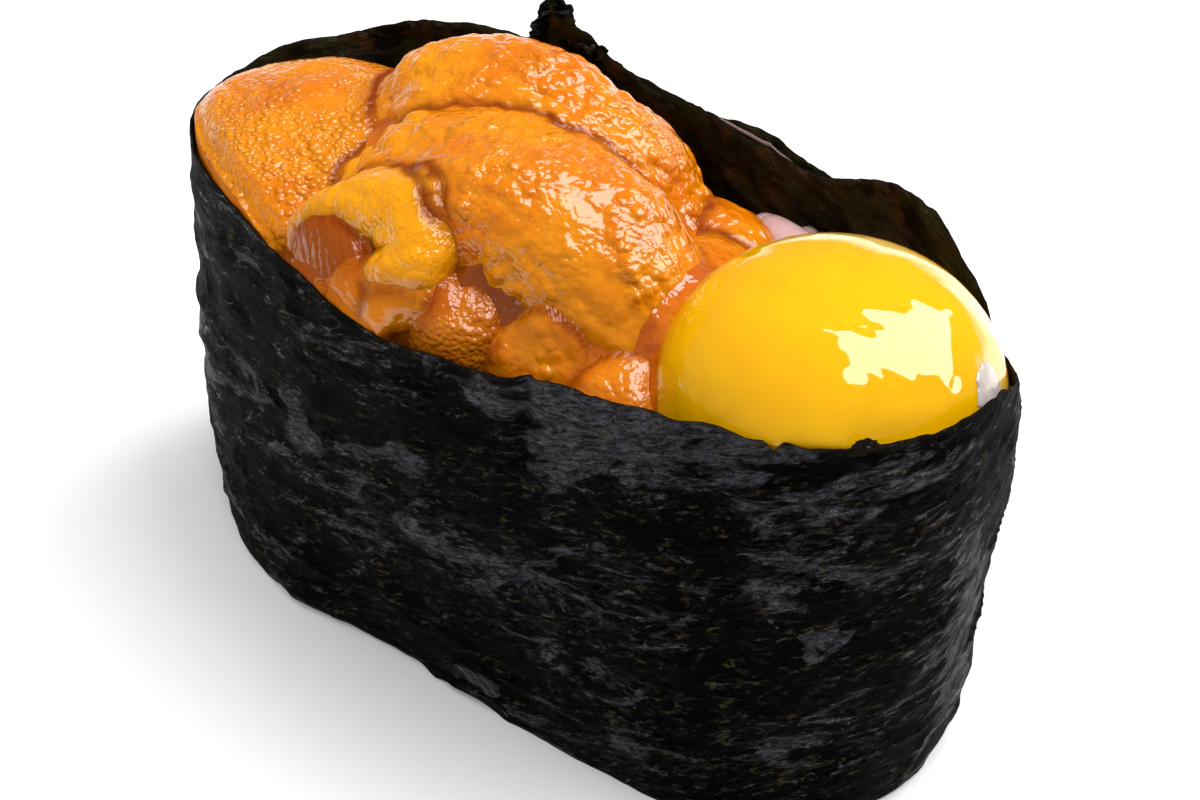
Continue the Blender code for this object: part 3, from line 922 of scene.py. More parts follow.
class RiceFinish(Finish):
    """Cooked rice: milky white, a little translucent and moist, with a painted pink glow of the filling's
    light on its top.
    """

    name = "rice"
    white: Colour = (0.66, 0.63, 0.56)
    grey_white: Colour = (0.56, 0.52, 0.44)
    stained: Colour = (0.52, 0.29, 0.29)

    def build(self) -> bpy.types.Material:
        """Makes the material.

        Returns:
            The new material.
        """
        g = Graph(self.name)
        at = g.place()
        tint = g.noise(at, size=0.002, detail=3.0)
        colour = g.mix(tint.ramp(0.4, 0.65), self.white, self.grey_white)
        # Painted bounce light: pink where the orange filling's light falls on the rice.
        colour = g.mix(g.value("stain"), colour, self.stained)
        shader = g.principled(
            Base_Color=colour,
            Subsurface_Weight=0.3,
            Subsurface_Radius=(1.0, 0.8, 0.6),
            Subsurface_Scale=0.0008,
            Roughness=0.12,
            Specular_IOR_Level=0.9,
            Normal=g.bump(g.noise(at, size=0.0006, detail=3.0), 0.00004),
        )
        return g.finished(shader)


class SauceFinish(Finish):
    """The wet amber liquor that pools between the tongues."""

    name = "sauce"
    amber: Colour = (0.40, 0.075, 0.001)
    light_amber: Colour = (0.54, 0.128, 0.0015)
    deep_brown: Colour = (0.17, 0.034, 0.004)

    def build(self) -> bpy.types.Material:
        """Makes the material.

        Returns:
            The new material.
        """
        g = Graph(self.name)
        at = g.place()
        tint = g.noise(at, size=0.003, detail=3.0)
        colour = g.mix(tint.ramp(0.38, 0.66), self.amber, self.light_amber)
        # Darker brown at the front left: partly deep liquor, partly painted shade.
        colour = g.mix(g.value("deep") * 0.8, colour, self.deep_brown)
        shader = g.principled(
            Base_Color=colour,
            Subsurface_Weight=0.2,
            Subsurface_Radius=(1.0, 0.3, 0.05),
            Subsurface_Scale=0.001,
            Roughness=0.06,
            Specular_IOR_Level=0.9,
            Normal=g.bump(g.noise(at, size=0.0018, detail=3.0), 0.0005),
        )
        return g.finished(shader)


class EggWhiteFinish(Finish):
    """A clear to milky film of egg white, whose paleness is partly a painted highlight."""

    name = "egg_white"
    milky: Colour = (0.42, 0.36, 0.36)
    warm: Colour = (0.52, 0.43, 0.38)
    clear: Colour = (0.13, 0.10, 0.11)

    def build(self) -> bpy.types.Material:
        """Makes the material.

        Returns:
            The new material.
        """
        g = Graph(self.name)
        at = g.place()
        waves = g.noise(at, size=0.0016)
        colour = g.mix(waves.ramp(0.4, 0.6), self.milky, self.warm)
        # The seam's painted highlight is toned down to a dark clear colour.
        colour = g.mix(g.value("dim"), colour, self.clear)
        shader = g.principled(
            Base_Color=colour,
            Subsurface_Weight=0.4,
            Subsurface_Radius=(1.0, 0.8, 0.6),
            Subsurface_Scale=0.001,
            Roughness=0.06,
            Specular_IOR_Level=0.9,
            Normal=g.bump(waves, 0.00012),
        )
        return g.finished(shader)


class FloorFinish(Finish):
    """Plain matte white."""

    name = "floor"
    white: Colour = (0.85, 0.85, 0.85)
    bright_white: Colour = (0.87, 0.87, 0.87)

    def build(self) -> bpy.types.Material:
        """Makes the material.

        Returns:
            The new material.
        """
        g = Graph(self.name)
        colour = g.mix(g.noise(g.place(), size=0.05), self.white, self.bright_white)
        return g.finished(g.principled(Base_Color=colour, Roughness=0.9, Specular_IOR_Level=0.1))


def place_piece(skin: Skin, name: str, finish: Finish, nodes: Sequence[str] = ()) -> None:
    """Makes a piece of the object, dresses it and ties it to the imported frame.

    Args:
        skin: Its surface.
        name: Its name.
        finish: Its material.
        nodes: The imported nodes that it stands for.
    """
    made = skin.object(name)
    made.data.materials.append(finish.material())
    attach(made, "root")
    if nodes:
        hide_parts(*nodes)
    corners = int((skin.faces >= 0).sum())
    LOG.info("%s: %d triangles", name, corners - 2 * len(skin.faces))


@dataclass
class NoriStrip:
    """The strip of nori, wound once round and a little over itself.

    Each glossy place, where the sheet is shinier and painted with a lilac sheen, is a turn and a height, and
    how far it spreads in both.
    """

    band: Band
    finish: Finish
    columns: int = 610
    rows: int = 78
    half_thickness: float = 0.15
    edge_thinness: float = 0.35
    edge_width: float = 0.35
    rim_limit: float = 36.2
    grain_length: float = 6.4
    grain_width: float = 3.0
    grain_depth: float = 0.3
    grain_wobble: float = 0.35
    fray_fine: float = 0.16
    fray_broad: float = 0.22
    fray_foot: float = 0.12
    tuft_turn: float = 10.0
    tuft_fray: float = 0.9
    fold_depth: float = 0.3
    facet_depth: float = 0.26
    fine_depth: float = 0.09
    rice_top: float = 19.5
    notch_turn: float = 162.2
    notch_depth: float = 0.7
    notch_width: float = 0.3
    crease_turn: float = 194.5
    crease_lean: float = 0.25
    crease_width: float = 1.1
    crease_depth: float = 0.5
    # Places where the finish makes the sheet shinier and paints its lilac sheen.
    glossy: tuple[tuple[float, float, float, float], ...] = (
        (168.0, 31.0, 24.0, 4.6), (230.0, 17.0, 5.0, 2.4), (219.0, 19.0, 4.0, 1.2), (210.8, 20.2, 4.0, 1.5),
        (200.8, 28.8, 3.0, 2.4), (190.0, 28.0, 4.0, 3.0), (118.0, 12.0, 6.0, 9.0),
    )

    def distance(self, turn: Array) -> Array:
        """Measures along the strip at half height, as the sum of short steps.

        Args:
            turn: Degrees turned from the strip's inner end.

        Returns:
            Distances in millimetres.
        """
        stops = np.linspace(0, self.band.strip_turn, 811)
        half_height = np.full(len(stops), self.band.height / 2)
        middle = self.band.wall(self.band.start_angle - stops, half_height, 0.0)
        steps = np.linalg.norm(np.diff(middle, axis=0), axis=1)
        return np.interp(turn, stops, np.concatenate([[0], np.cumsum(steps)]))

    def sheet(self) -> tuple[Array, Array, Array, Array]:
        """Lays out the strip's grid.

        The height runs straight from the foot's lifted, frayed edge to the rim's, and the place along is the
        sum of the steps at half height.

        Returns:
            Turn, angle, height and distance along, each columns by rows.
        """
        turn = np.linspace(0, self.band.strip_turn, self.columns)
        angle = self.band.start_angle - turn
        along = self.distance(turn)
        line = np.stack([along, np.zeros_like(along), np.zeros_like(along)], -1)
        fray = self.fray_fine * Field.fractal(line, 0.9, 3, 41, 0.7)
        fray += self.fray_broad * Field.value(line, 3.4, 43)
        from_notch = (along - self.distance(self.notch_turn)) / self.notch_width
        fray -= self.notch_depth * np.exp(-(from_notch**2))
        tuft = ease(1 - turn / self.tuft_turn)
        fray += tuft * self.tuft_fray * Field.fractal(line, 0.7, 2, 47)
        rim = np.minimum(self.band.rim_height(turn) + fray, self.rim_limit)
        foot = self.band.lift(angle) + self.fray_foot * np.clip(Field.fractal(line, 1.1, 3, 53, 0.7), 0, 1)
        share = np.linspace(0, 1, self.rows)
        height = foot[:, None] + (rim - foot)[:, None] * share
        spread = np.ones(self.rows)
        return turn[:, None] * spread, angle[:, None] * spread, height, along[:, None] * spread

    def relief(self, turn: Array, height: Array, along: Array) -> Array:
        """Works out how far the sheet stands out from the band's plain wall.

        Rice grains press it out below the top of the bed, long slanting wrinkles run along it, broad facets
        lie between them, one crease crosses its front, and the torn corner at its inner end is crumpled.

        Args:
            turn: Turn of each point.
            height: Height of each point.
            along: Distance along the strip of each point.

        Returns:
            Distances in millimetres.
        """
        lean = height + NORI_SLANT * along
        flat = np.zeros_like(along)
        grains = np.stack([along / self.grain_length, lean / self.grain_width, flat], -1)
        grains[..., 1] += self.grain_wobble * Field.value(np.stack([along, lean, flat], -1), 5.0, 61)
        packed = 1.0 - np.clip(Field.cells(grains, 1.0, 67, 0.7), 0, 1) ** 2
        backed = 1.0 - 0.75 * ease((height - self.rice_top + 4.0) / 6.0)
        flow = np.stack([along * 0.45, lean, flat], -1)
        folds = Field.ridges(flow, 3.6, 3, 71) ** 2
        facets = Field.fractal(np.stack([along, lean, flat], -1), 7.5, 2, 73)
        fine = Field.fractal(flow, 0.9, 3, 79, 0.6)
        out = self.grain_depth * (packed - 0.5) * backed
        out = out + self.fold_depth * folds + self.facet_depth * facets + self.fine_depth * fine
        crease = turn - self.crease_turn - self.crease_lean * (self.band.height - height)
        dip = np.exp(-((crease / self.crease_width) ** 2)) * ease((height - 20.0) / 4.0)
        out = out - self.crease_depth * dip
        tuft = ease(1 - turn / 12.0) * ease((height - 29.0) / 3.0)
        crumple = Field.fractal(np.stack([along, height, flat], -1), 1.5, 3, 83, 0.6)
        return out * (1 - 0.5 * tuft) + tuft * (0.9 * crumple - 0.5)

    def skin(self) -> Skin:
        """Builds the closed strip: an outer and an inner grid, joined round their edge.

        Returns:
            The surface, with its distance along, height, which face it is, nearness to an edge, and gloss
            that also paints a lilac sheen.
        """
        turn, angle, height, along = self.sheet()
        out = self.band.step(turn) + self.relief(turn, height, along)
        thin = self.half_thickness * np.ones_like(height)
        thin[:, [0, -1]] *= self.edge_thinness
        thin[[0, -1], :] *= self.edge_thinness
        outer = self.band.wall(angle, height, out + thin).reshape(-1, 3)
        inner = self.band.wall(angle, height, out - thin).reshape(-1, 3)
        rows, columns = self.rows, self.columns
        corner = (np.arange(columns - 1)[:, None] * rows + np.arange(rows - 1)).reshape(-1, 1)
        front = corner + np.array([0, 1, rows + 1, rows])
        count = rows * columns
        back = count + front[:, ::-1]
        loop = np.concatenate([
            np.arange(columns) * rows,
            (columns - 1) * rows + np.arange(1, rows),
            np.arange(columns - 2, -1, -1) * rows + rows - 1,
            np.arange(rows - 2, 0, -1),
        ])
        after = np.roll(loop, -1)
        side = np.stack([loop, after, count + after, count + loop], -1)
        from_long_edges = np.minimum(height - height[:, :1], height[:, -1:] - height)
        from_ends = np.minimum(along, along[-1:] - along)
        edge = ease(1 - np.minimum(from_long_edges, from_ends) / self.edge_width).reshape(-1)
        spots = [np.exp(-(((turn - t) / w) ** 2) - ((height - z) / h) ** 2) for t, z, w, h in self.glossy]
        values = {
            "along": np.tile(along.reshape(-1), 2),
            "up": np.tile(height.reshape(-1), 2),
            "inside": np.repeat([0.0, 1.0], count),
            "edge": np.tile(edge, 2),
            "sheen": np.tile(np.max(spots, axis=0).reshape(-1), 2),
        }
        return Skin(np.concatenate([outer, inner]), np.concatenate([front, back, side]), values)

    def laid(self, turn: float, height: Optional[float]) -> Ground:
        """Maps a flat piece on the strip's outer face round one place, its first direction against the turn.

        Args:
            turn: Turn of the place.
            height: Height of the place, or None for the rim.

        Returns:
            A function of the two flat coordinates and the distance out.
        """
        per_mm = 1.0 / float(self.distance(turn + 0.5) - self.distance(turn - 0.5))

        def ground(u: Array, v: Array, out: Array) -> Array:
            """Bends flat coordinates round the strip.

            Args:
                u: Distances against the turn.
                v: Distances up.
                out: Distances off the outer face.

            Returns:
                The points.
            """
            at = turn - u * per_mm
            z = v + (self.band.rim_height(at) if height is None else height)
            face = self.band.step(at) + self.relief(at, z, self.distance(at)) + self.half_thickness
            return self.band.wall(self.band.start_angle - at, z, face + out)

        return ground

    def build(self) -> None:
        """Makes the piece."""
        place_piece(self.skin(), "nori_strip", self.finish, ("nori",))


@dataclass(frozen=True)
class Flake:
    """A bit stuck on the strip's outer face, at a turn and a height, or on the rim if the height is None; its
    sheen paints it a lilac sheen.
    """

    turn: float
    height: Optional[float]
    half_length: float
    half_width: float
    sheen: float = 0.0
    edge: float = 0.0


@dataclass
class NoriScraps:
    """Bits torn from the sheet: the crumpled corner at its inner end, and flakes on the wall and the rim."""

    strip: NoriStrip
    finish: Finish
    leaves: int = 16
    seed: int = 5
    crumple_depth: float = 0.75
    flakes: tuple[Flake, ...] = (
        Flake(152.8, 16.8, 1.15, 0.85, sheen=0.9),
        Flake(154.0, 15.4, 0.5, 0.6, sheen=0.9),
        Flake(203.2, 2.4, 1.5, 0.8, sheen=0.8),
        Flake(149.4, None, 0.75, 0.7, edge=1.0),
        Flake(136.5, 24.9, 0.32, 0.5, edge=1.0),
        Flake(147.0, 29.6, 0.5, 0.25, edge=0.8),
        Flake(175.0, 21.5, 1.3, 0.35, sheen=0.5),
        Flake(187.0, 12.0, 1.1, 0.5, sheen=0.4),
        Flake(222.0, 9.0, 0.9, 0.4, sheen=0.4),
    )

    def leaf_ground(self, centre: Array, first: Array, second: Array, seed: int) -> Ground:
        """Maps a flat piece on a crumpled plane: its height is fractal noise of the flat coordinates.

        Args:
            centre: Middle of the piece.
            first: Its first direction.
            second: Its second direction, squared to the first.
            seed: Which crumple.

        Returns:
            A function of the two flat coordinates and the distance out.
        """
        first = first / np.linalg.norm(first)
        normal = np.cross(first, second)
        normal /= np.linalg.norm(normal)
        second = np.cross(normal, first)

        def ground(u: Array, v: Array, out: Array) -> Array:
            """Lays flat coordinates on the crumpled plane.

            Args:
                u: Distances along the first direction.
                v: Distances along the second.
                out: Distances off the plane.

            Returns:
                The points.
            """
            flat = np.stack([u, v, np.full_like(u, 3.0 * seed)], -1)
            crumple = self.crumple_depth * Field.fractal(flat, 1.3, 3, seed, 0.6)
            return centre + u[..., None] * first + v[..., None] * second + (out + crumple)[..., None] * normal

        return ground

    def corner(self) -> list[Skin]:
        """Crumples small leaves round the raised corner, larger low down.

        Returns:
            Their surfaces.
        """
        draw = np.random.default_rng(self.seed)
        made = []
        for k in range(self.leaves):
            turn = draw.uniform(0.2, 8.5)
            height = draw.uniform(30.6, 34.4 - 0.22 * turn)
            angle = math.radians(self.strip.band.start_angle - turn)
            out = draw.uniform(-0.6, 0.7)
            centre = self.strip.band.wall(np.array([math.degrees(angle)]), np.array([height]), out)[0]
            spin, tilt = draw.uniform(-0.9, 0.9), draw.uniform(-0.7, 0.7)
            first = np.array([-math.sin(angle + spin), math.cos(angle + spin), math.sin(tilt)])
            second = np.array([0.3 * draw.uniform(-1, 1), 0.3 * draw.uniform(-1, 1), 1.0])
            size = draw.uniform(0.9, 1.7)
            patch = Patch(size, 0.85 * size, 0.16, ragged=0.55, seed=k + 1)
            # The leaves carry a little painted sheen.
            values = {"along": 13.0 * k, "up": 0.0, "inside": 0.0, "edge": 0.0, "sheen": 0.2}
            made.append(patch.skin(self.leaf_ground(centre, first, second, k + 1), values))
        return made

    def stuck(self) -> list[Skin]:
        """Lays each flake on the strip.

        Returns:
            Their surfaces.
        """
        made = []
        for k, flake in enumerate(self.flakes):
            patch = Patch(flake.half_length, flake.half_width, 0.14, ragged=0.5, seed=k + 40)
            values = {"along": 17.0 * k, "up": 0.0, "inside": 0.0, "edge": flake.edge, "sheen": flake.sheen}
            made.append(patch.skin(self.strip.laid(flake.turn, flake.height), values))
        return made

    def build(self) -> None:
        """Makes the pieces."""
        place_piece(Skin.joined(self.corner()), "nori_corner", self.finish)
        place_piece(Skin.joined(self.stuck()), "nori_flakes", self.finish)


@dataclass(frozen=True)
class Tongue:
    """One tongue of sea urchin: a spine with half widths and half depths along it, and how its skin looks.

    Tone runs from -1, brown, to 1, yellow. Beads, ribs, coarse and knobs are shares of the fine beads, fine
    ribs, coarse lumps, and knobs near its first end. Below smooth_below it is nearly bare.
    """

    spine: tuple[tuple[float, float, float], ...]
    half_widths: tuple[float, ...]
    half_depths: tuple[float, ...]
    up: tuple[float, float, float] = (0.0, 0.0, 1.0)
    lumps: float = 0.35
    lump_size: float = 4.5
    blunt: float = 3.0
    tone: float = 0.0
    beads: float = 1.0
    ribs: float = 0.0
    coarse: float = 0.0
    knobs: float = 0.0
    smooth_below: float = 0.0
    broaden: float = 0.0

    def along(self, place: Array) -> tuple[Array, Array, Array, Array]:
        """Reads the spine and sizes at shares of its length.

        Args:
            place: Shares from 0 to 1.

        Returns:
            Centres, unit tangents, half widths and half depths.
        """
        spine = np.array(self.spine, float)
        steps = np.linalg.norm(np.diff(spine, axis=0), axis=1)
        share = np.concatenate([[0], np.cumsum(steps)]) / steps.sum()
        stations = np.column_stack([share, spine, self.half_widths, self.half_depths])
        x, y, z, half_width, half_depth = between(stations, place)
        centre = np.stack([x, y, z], -1)
        tangent = np.gradient(centre, place, axis=0)
        return centre, tangent / np.linalg.norm(tangent, axis=1, keepdims=True), half_width, half_depth

    def frame(self, tangent: Array) -> tuple[Array, Array]:
        """Squares a side and a top direction to the tangents.

        Args:
            tangent: Unit tangents.

        Returns:
            Unit side and top directions.
        """
        side = np.cross(np.array(self.up, float), tangent)
        side /= np.linalg.norm(side, axis=1, keepdims=True)
        return side, np.cross(tangent, side)

    def base(self, rings: int, sides: int, grow: float) -> tuple[Array, Array, Array]:
        """Sweeps ovals square to the spine, rounded off at both ends as the root of one less a power.

        Args:
            rings: Rings between the poles.
            sides: Points round each ring, closer together on top.
            grow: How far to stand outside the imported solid.

        Returns:
            First pole, rings and last pole.
        """
        place = 0.5 - 0.5 * np.cos(np.pi * np.arange(rings + 2) / (rings + 1))
        centre, tangent, half_width, half_depth = self.along(place)
        side, top = self.frame(tangent)
        centre = centre + tangent * (2 * place[:, None] - 1) * grow
        cap = np.maximum(0, 1 - np.abs(2 * place - 1) ** self.blunt) ** 0.5
        turn = 2 * np.pi * np.arange(sides) / sides
        turn = turn + 0.35 * np.cos(turn)
        turn = turn[None, :, None]
        across = (half_width + grow + self.broaden)[:, None, None] * np.cos(turn) * side[:, None, :]
        deep = (half_depth + grow)[:, None, None] * np.sin(turn) * top[:, None, :]
        ring = (across + deep) * cap[:, None, None]
        points = centre[:, None, :] + ring
        lump = 1 + self.lumps * Field.value(points, self.lump_size, 5) / np.mean(self.half_depths)
        points = centre[:, None, :] + ring * lump[..., None]
        return points[0, 0], points[1:-1], points[-1, 0]

    def outside(self, points: Array, samples: int = 24) -> Array:
        """Measures roughly how far points lie outside the tongue: from the nearest ellipsoid on its spine.

        Args:
            points: Points, three to a row.
            samples: Ellipsoids along the spine.

        Returns:
            Distances in millimetres, negative inside.
        """
        place = np.linspace(0.02, 0.98, samples)
        centre, tangent, half_width, half_depth = self.along(place)
        side, top = self.frame(tangent)
        cap = np.maximum(0.05, 1 - np.abs(2 * place - 1) ** self.blunt) ** 0.5
        best = np.full(len(points), 1e9)
        for k in range(samples):
            away = points - centre[k]
            width, depth = half_width[k] * cap[k], half_depth[k] * cap[k]
            length = min(width, depth)
            a, b, c = away @ side[k] / width, away @ top[k] / depth, away @ tangent[k] / length
            scaled = np.sqrt(a * a + b * b + c * c)
            straight = np.linalg.norm(away, axis=1)
            best = np.minimum(best, straight * (1 - 1 / np.maximum(scaled, 1e-6)))
        return best


TONGUES: dict[str, tuple[Tongue, ...]] = {
    "uni_curl": (
        Tongue(
            (
                (-15.4, -9.9, 31.0), (-13.8, -8.3, 32.5), (-10.6, -7.3, 33.7), (-7.4, -7.7, 34.0),
                (-6.5, -9.5, 32.9), (-8.2, -11.1, 31.4),
            ),
            (0.9, 1.3, 1.8, 2.4, 2.4, 1.7), (0.9, 1.3, 1.7, 2.1, 2.2, 1.6), lumps=0.3, lump_size=2.6,
            tone=0.9, beads=0.4, coarse=0.5,
        ),
        Tongue(
            ((-14.8, -10.4, 30.0), (-11.8, -9.6, 31.0), (-9.0, -9.8, 31.0)), (1.9, 2.6, 2.2), (1.8, 2.2, 2.0),
            tone=-0.85, beads=0.1, ribs=1.0,
        ),
        Tongue(
            ((-8.8, -5.2, 34.8), (-6.6, -6.2, 35.0), (-5.3, -8.2, 33.2)), (1.2, 1.5, 1.2), (1.2, 1.4, 1.2),
            lumps=0.25, lump_size=2.2, tone=0.6, beads=0.4,
        ),
    ),
    "uni_tip": (
        Tongue(
            ((-11.4, -12.0, 29.6), (-9.6, -11.6, 30.5), (-7.6, -11.5, 30.0)),
            (1.6, 1.9, 1.6), (1.5, 1.7, 1.5), lumps=0.3, lump_size=1.8, tone=-0.1, beads=0.5,
        ),
        Tongue(
            ((-7.2, -12.4, 28.8), (-7.0, -11.9, 30.0), (-5.6, -10.6, 30.8), (-3.8, -10.0, 30.4)),
            (1.3, 1.7, 1.8, 1.5), (1.3, 1.6, 1.6, 1.4), lumps=0.3, lump_size=1.8, tone=0.1, beads=0.5,
        ),
    ),
    "uni_front": (
        Tongue(
            ((-5.2, -7.4, 29.6), (-3.0, -9.2, 28.8), (-2.2, -11.4, 26.4)), (2.6, 3.2, 3.2), (2.4, 2.8, 2.8),
            lumps=0.5, lump_size=2.4, tone=-0.35, beads=0.55,
        ),
    ),
    "uni_near": (
        Tongue(
            ((-0.2, -6.8, 28.9), (2.4, -7.8, 28.0), (4.8, -9.6, 25.8)), (2.6, 3.2, 3.3), (2.6, 3.2, 3.0),
            lumps=0.5, lump_size=2.6, tone=-0.05, beads=0.35, coarse=0.7,
        ),
    ),
    "uni_middle": (
        Tongue(
            ((-16.2, -3.4, 29.0), (-8.5, -2.3, 31.4), (1.0, -2.0, 31.2), (9.4, -4.0, 27.0)),
            (4.6, 6.3, 6.3, 5.4), (4.2, 5.8, 5.8, 5.2), beads=0.75, coarse=1.0,
            knobs=1.0, smooth_below=33.5,
        ),
    ),
    "uni_back": (
        Tongue(
            ((-19.4, 3.4, 28.4), (-13.0, 5.5, 30.9), (-5.2, 6.5, 30.2), (2.6, 8.2, 25.2)),
            (5.8, 6.5, 5.5, 4.2), (5.2, 5.7, 5.2, 4.2), beads=0.8, coarse=1.0,
            knobs=0.6,
        ),
    ),
    "uni_far": (
        Tongue(
            ((-32.6, -0.6, 27.0), (-27.0, -3.0, 28.5), (-20.0, -4.0, 28.4), (-13.5, -5.6, 26.6)),
            (6.0, 8.6, 9.8, 8.4), (3.7, 3.8, 3.8, 3.4), up=(0.0, -0.12, 1.0), blunt=5.0, broaden=0.8,
        ),
    ),
    "uni_low": (
        Tongue(
            ((-20.0, -7.6, 25.4), (-15.0, -9.4, 26.8), (-9.4, -10.4, 26.6), (-3.6, -10.6, 25.2)),
            # Its brown tone is partly liquor, partly painted shade under the curl and at the rim.
            (3.6, 4.4, 4.2, 3.4), (2.8, 3.2, 3.2, 2.8), tone=-0.75, beads=0.5,
        ),
    ),
    "uni_edge": (
        Tongue(
            ((5.4, -6.8, 26.4), (8.0, -7.8, 26.6), (11.4, -8.8, 24.8)),
            (2.6, 3.2, 2.8), (2.4, 2.8, 2.6), beads=0.3,
        ),
    ),
    "uni_side": (
        Tongue(
            ((1.2, 10.6, 23.8), (4.8, 8.6, 25.6), (8.4, 8.4, 24.6)), (2.8, 3.4, 2.6), (2.6, 3.0, 2.6),
            tone=-0.15, beads=0.2, coarse=0.6,
        ),
        Tongue(
            ((3.2, 6.4, 25.0), (6.6, 3.2, 26.6), (9.2, -0.6, 25.6)), (2.8, 3.4, 2.8), (2.6, 3.0, 2.6),
            tone=-0.1, beads=0.3, coarse=0.6,
        ),
    ),
    "uni_corner": (
        Tongue(
            ((13.6, 11.6, 24.4), (16.8, 11.2, 26.2), (20.4, 9.8, 25.6)), (1.6, 2.0, 1.7), (1.9, 2.3, 2.0),
            tone=-0.2, beads=0.2,
        ),
    ),
}


@dataclass
class PlanMap:
    """Values on a square grid over the layout, seen from above."""

    values: Array
    cell: float
    low: tuple[float, float] = (-36.0, -20.0)
    size: tuple[float, float] = (74.0, 42.0)

    @classmethod
    def tops(cls, clouds: Sequence[Array], cell: float, ground: float) -> "PlanMap":
        """Keeps the highest point over each cell.

        Args:
            clouds: Points of each piece.
            cell: The grid's step.
            ground: Height where there is nothing.

        Returns:
            The map of heights.
        """
        made = cls(np.full([int(side / cell) for side in cls.size], ground), cell)
        for cloud in clouds:
            spot = np.floor((cloud[:, :2] - made.low) / cell).astype(int)
            np.maximum.at(made.values, (spot[:, 0], spot[:, 1]), cloud[:, 2])
        return made

    def widened(self) -> "PlanMap":
        """Gives each cell the highest value of the nine round it.

        Returns:
            The widened map.
        """
        shifts = [(i, j) for i in (-1, 0, 1) for j in (-1, 0, 1)]
        highest = np.max([np.roll(self.values, shift, (0, 1)) for shift in shifts], axis=0)
        return PlanMap(highest, self.cell)

    def blurred(self, width: float) -> "PlanMap":
        """Blurs the map in frequency by a bell curve.

        Args:
            width: Standard width of the bell in millimetres.

        Returns:
            The blurred map.
        """
        fx = np.fft.fftfreq(self.values.shape[0], self.cell)[:, None]
        fy = np.fft.rfftfreq(self.values.shape[1], self.cell)[None, :]
        bell = np.exp(-2 * (np.pi * width) ** 2 * (fx**2 + fy**2))
        return PlanMap(np.fft.irfft2(np.fft.rfft2(self.values) * bell, self.values.shape), self.cell)

    def at(self, plan: Array) -> Array:
        """Reads the map between its cells, weighted by nearness.

        Args:
            plan: Places, two to a row.

        Returns:
            The values there.
        """
        spot = (plan - np.array(self.low)) / self.cell - 0.5
        first = np.clip(np.floor(spot).astype(int), 0, np.array(self.values.shape) - 2)
        part = np.clip(spot - first, 0, 1)
        x, y, px, py = first[..., 0], first[..., 1], part[..., 0], part[..., 1]
        near = self.values[x, y] * (1 - py) + self.values[x, y + 1] * py
        far = self.values[x + 1, y] * (1 - py) + self.values[x + 1, y + 1] * py
        return near * (1 - px) + far * px


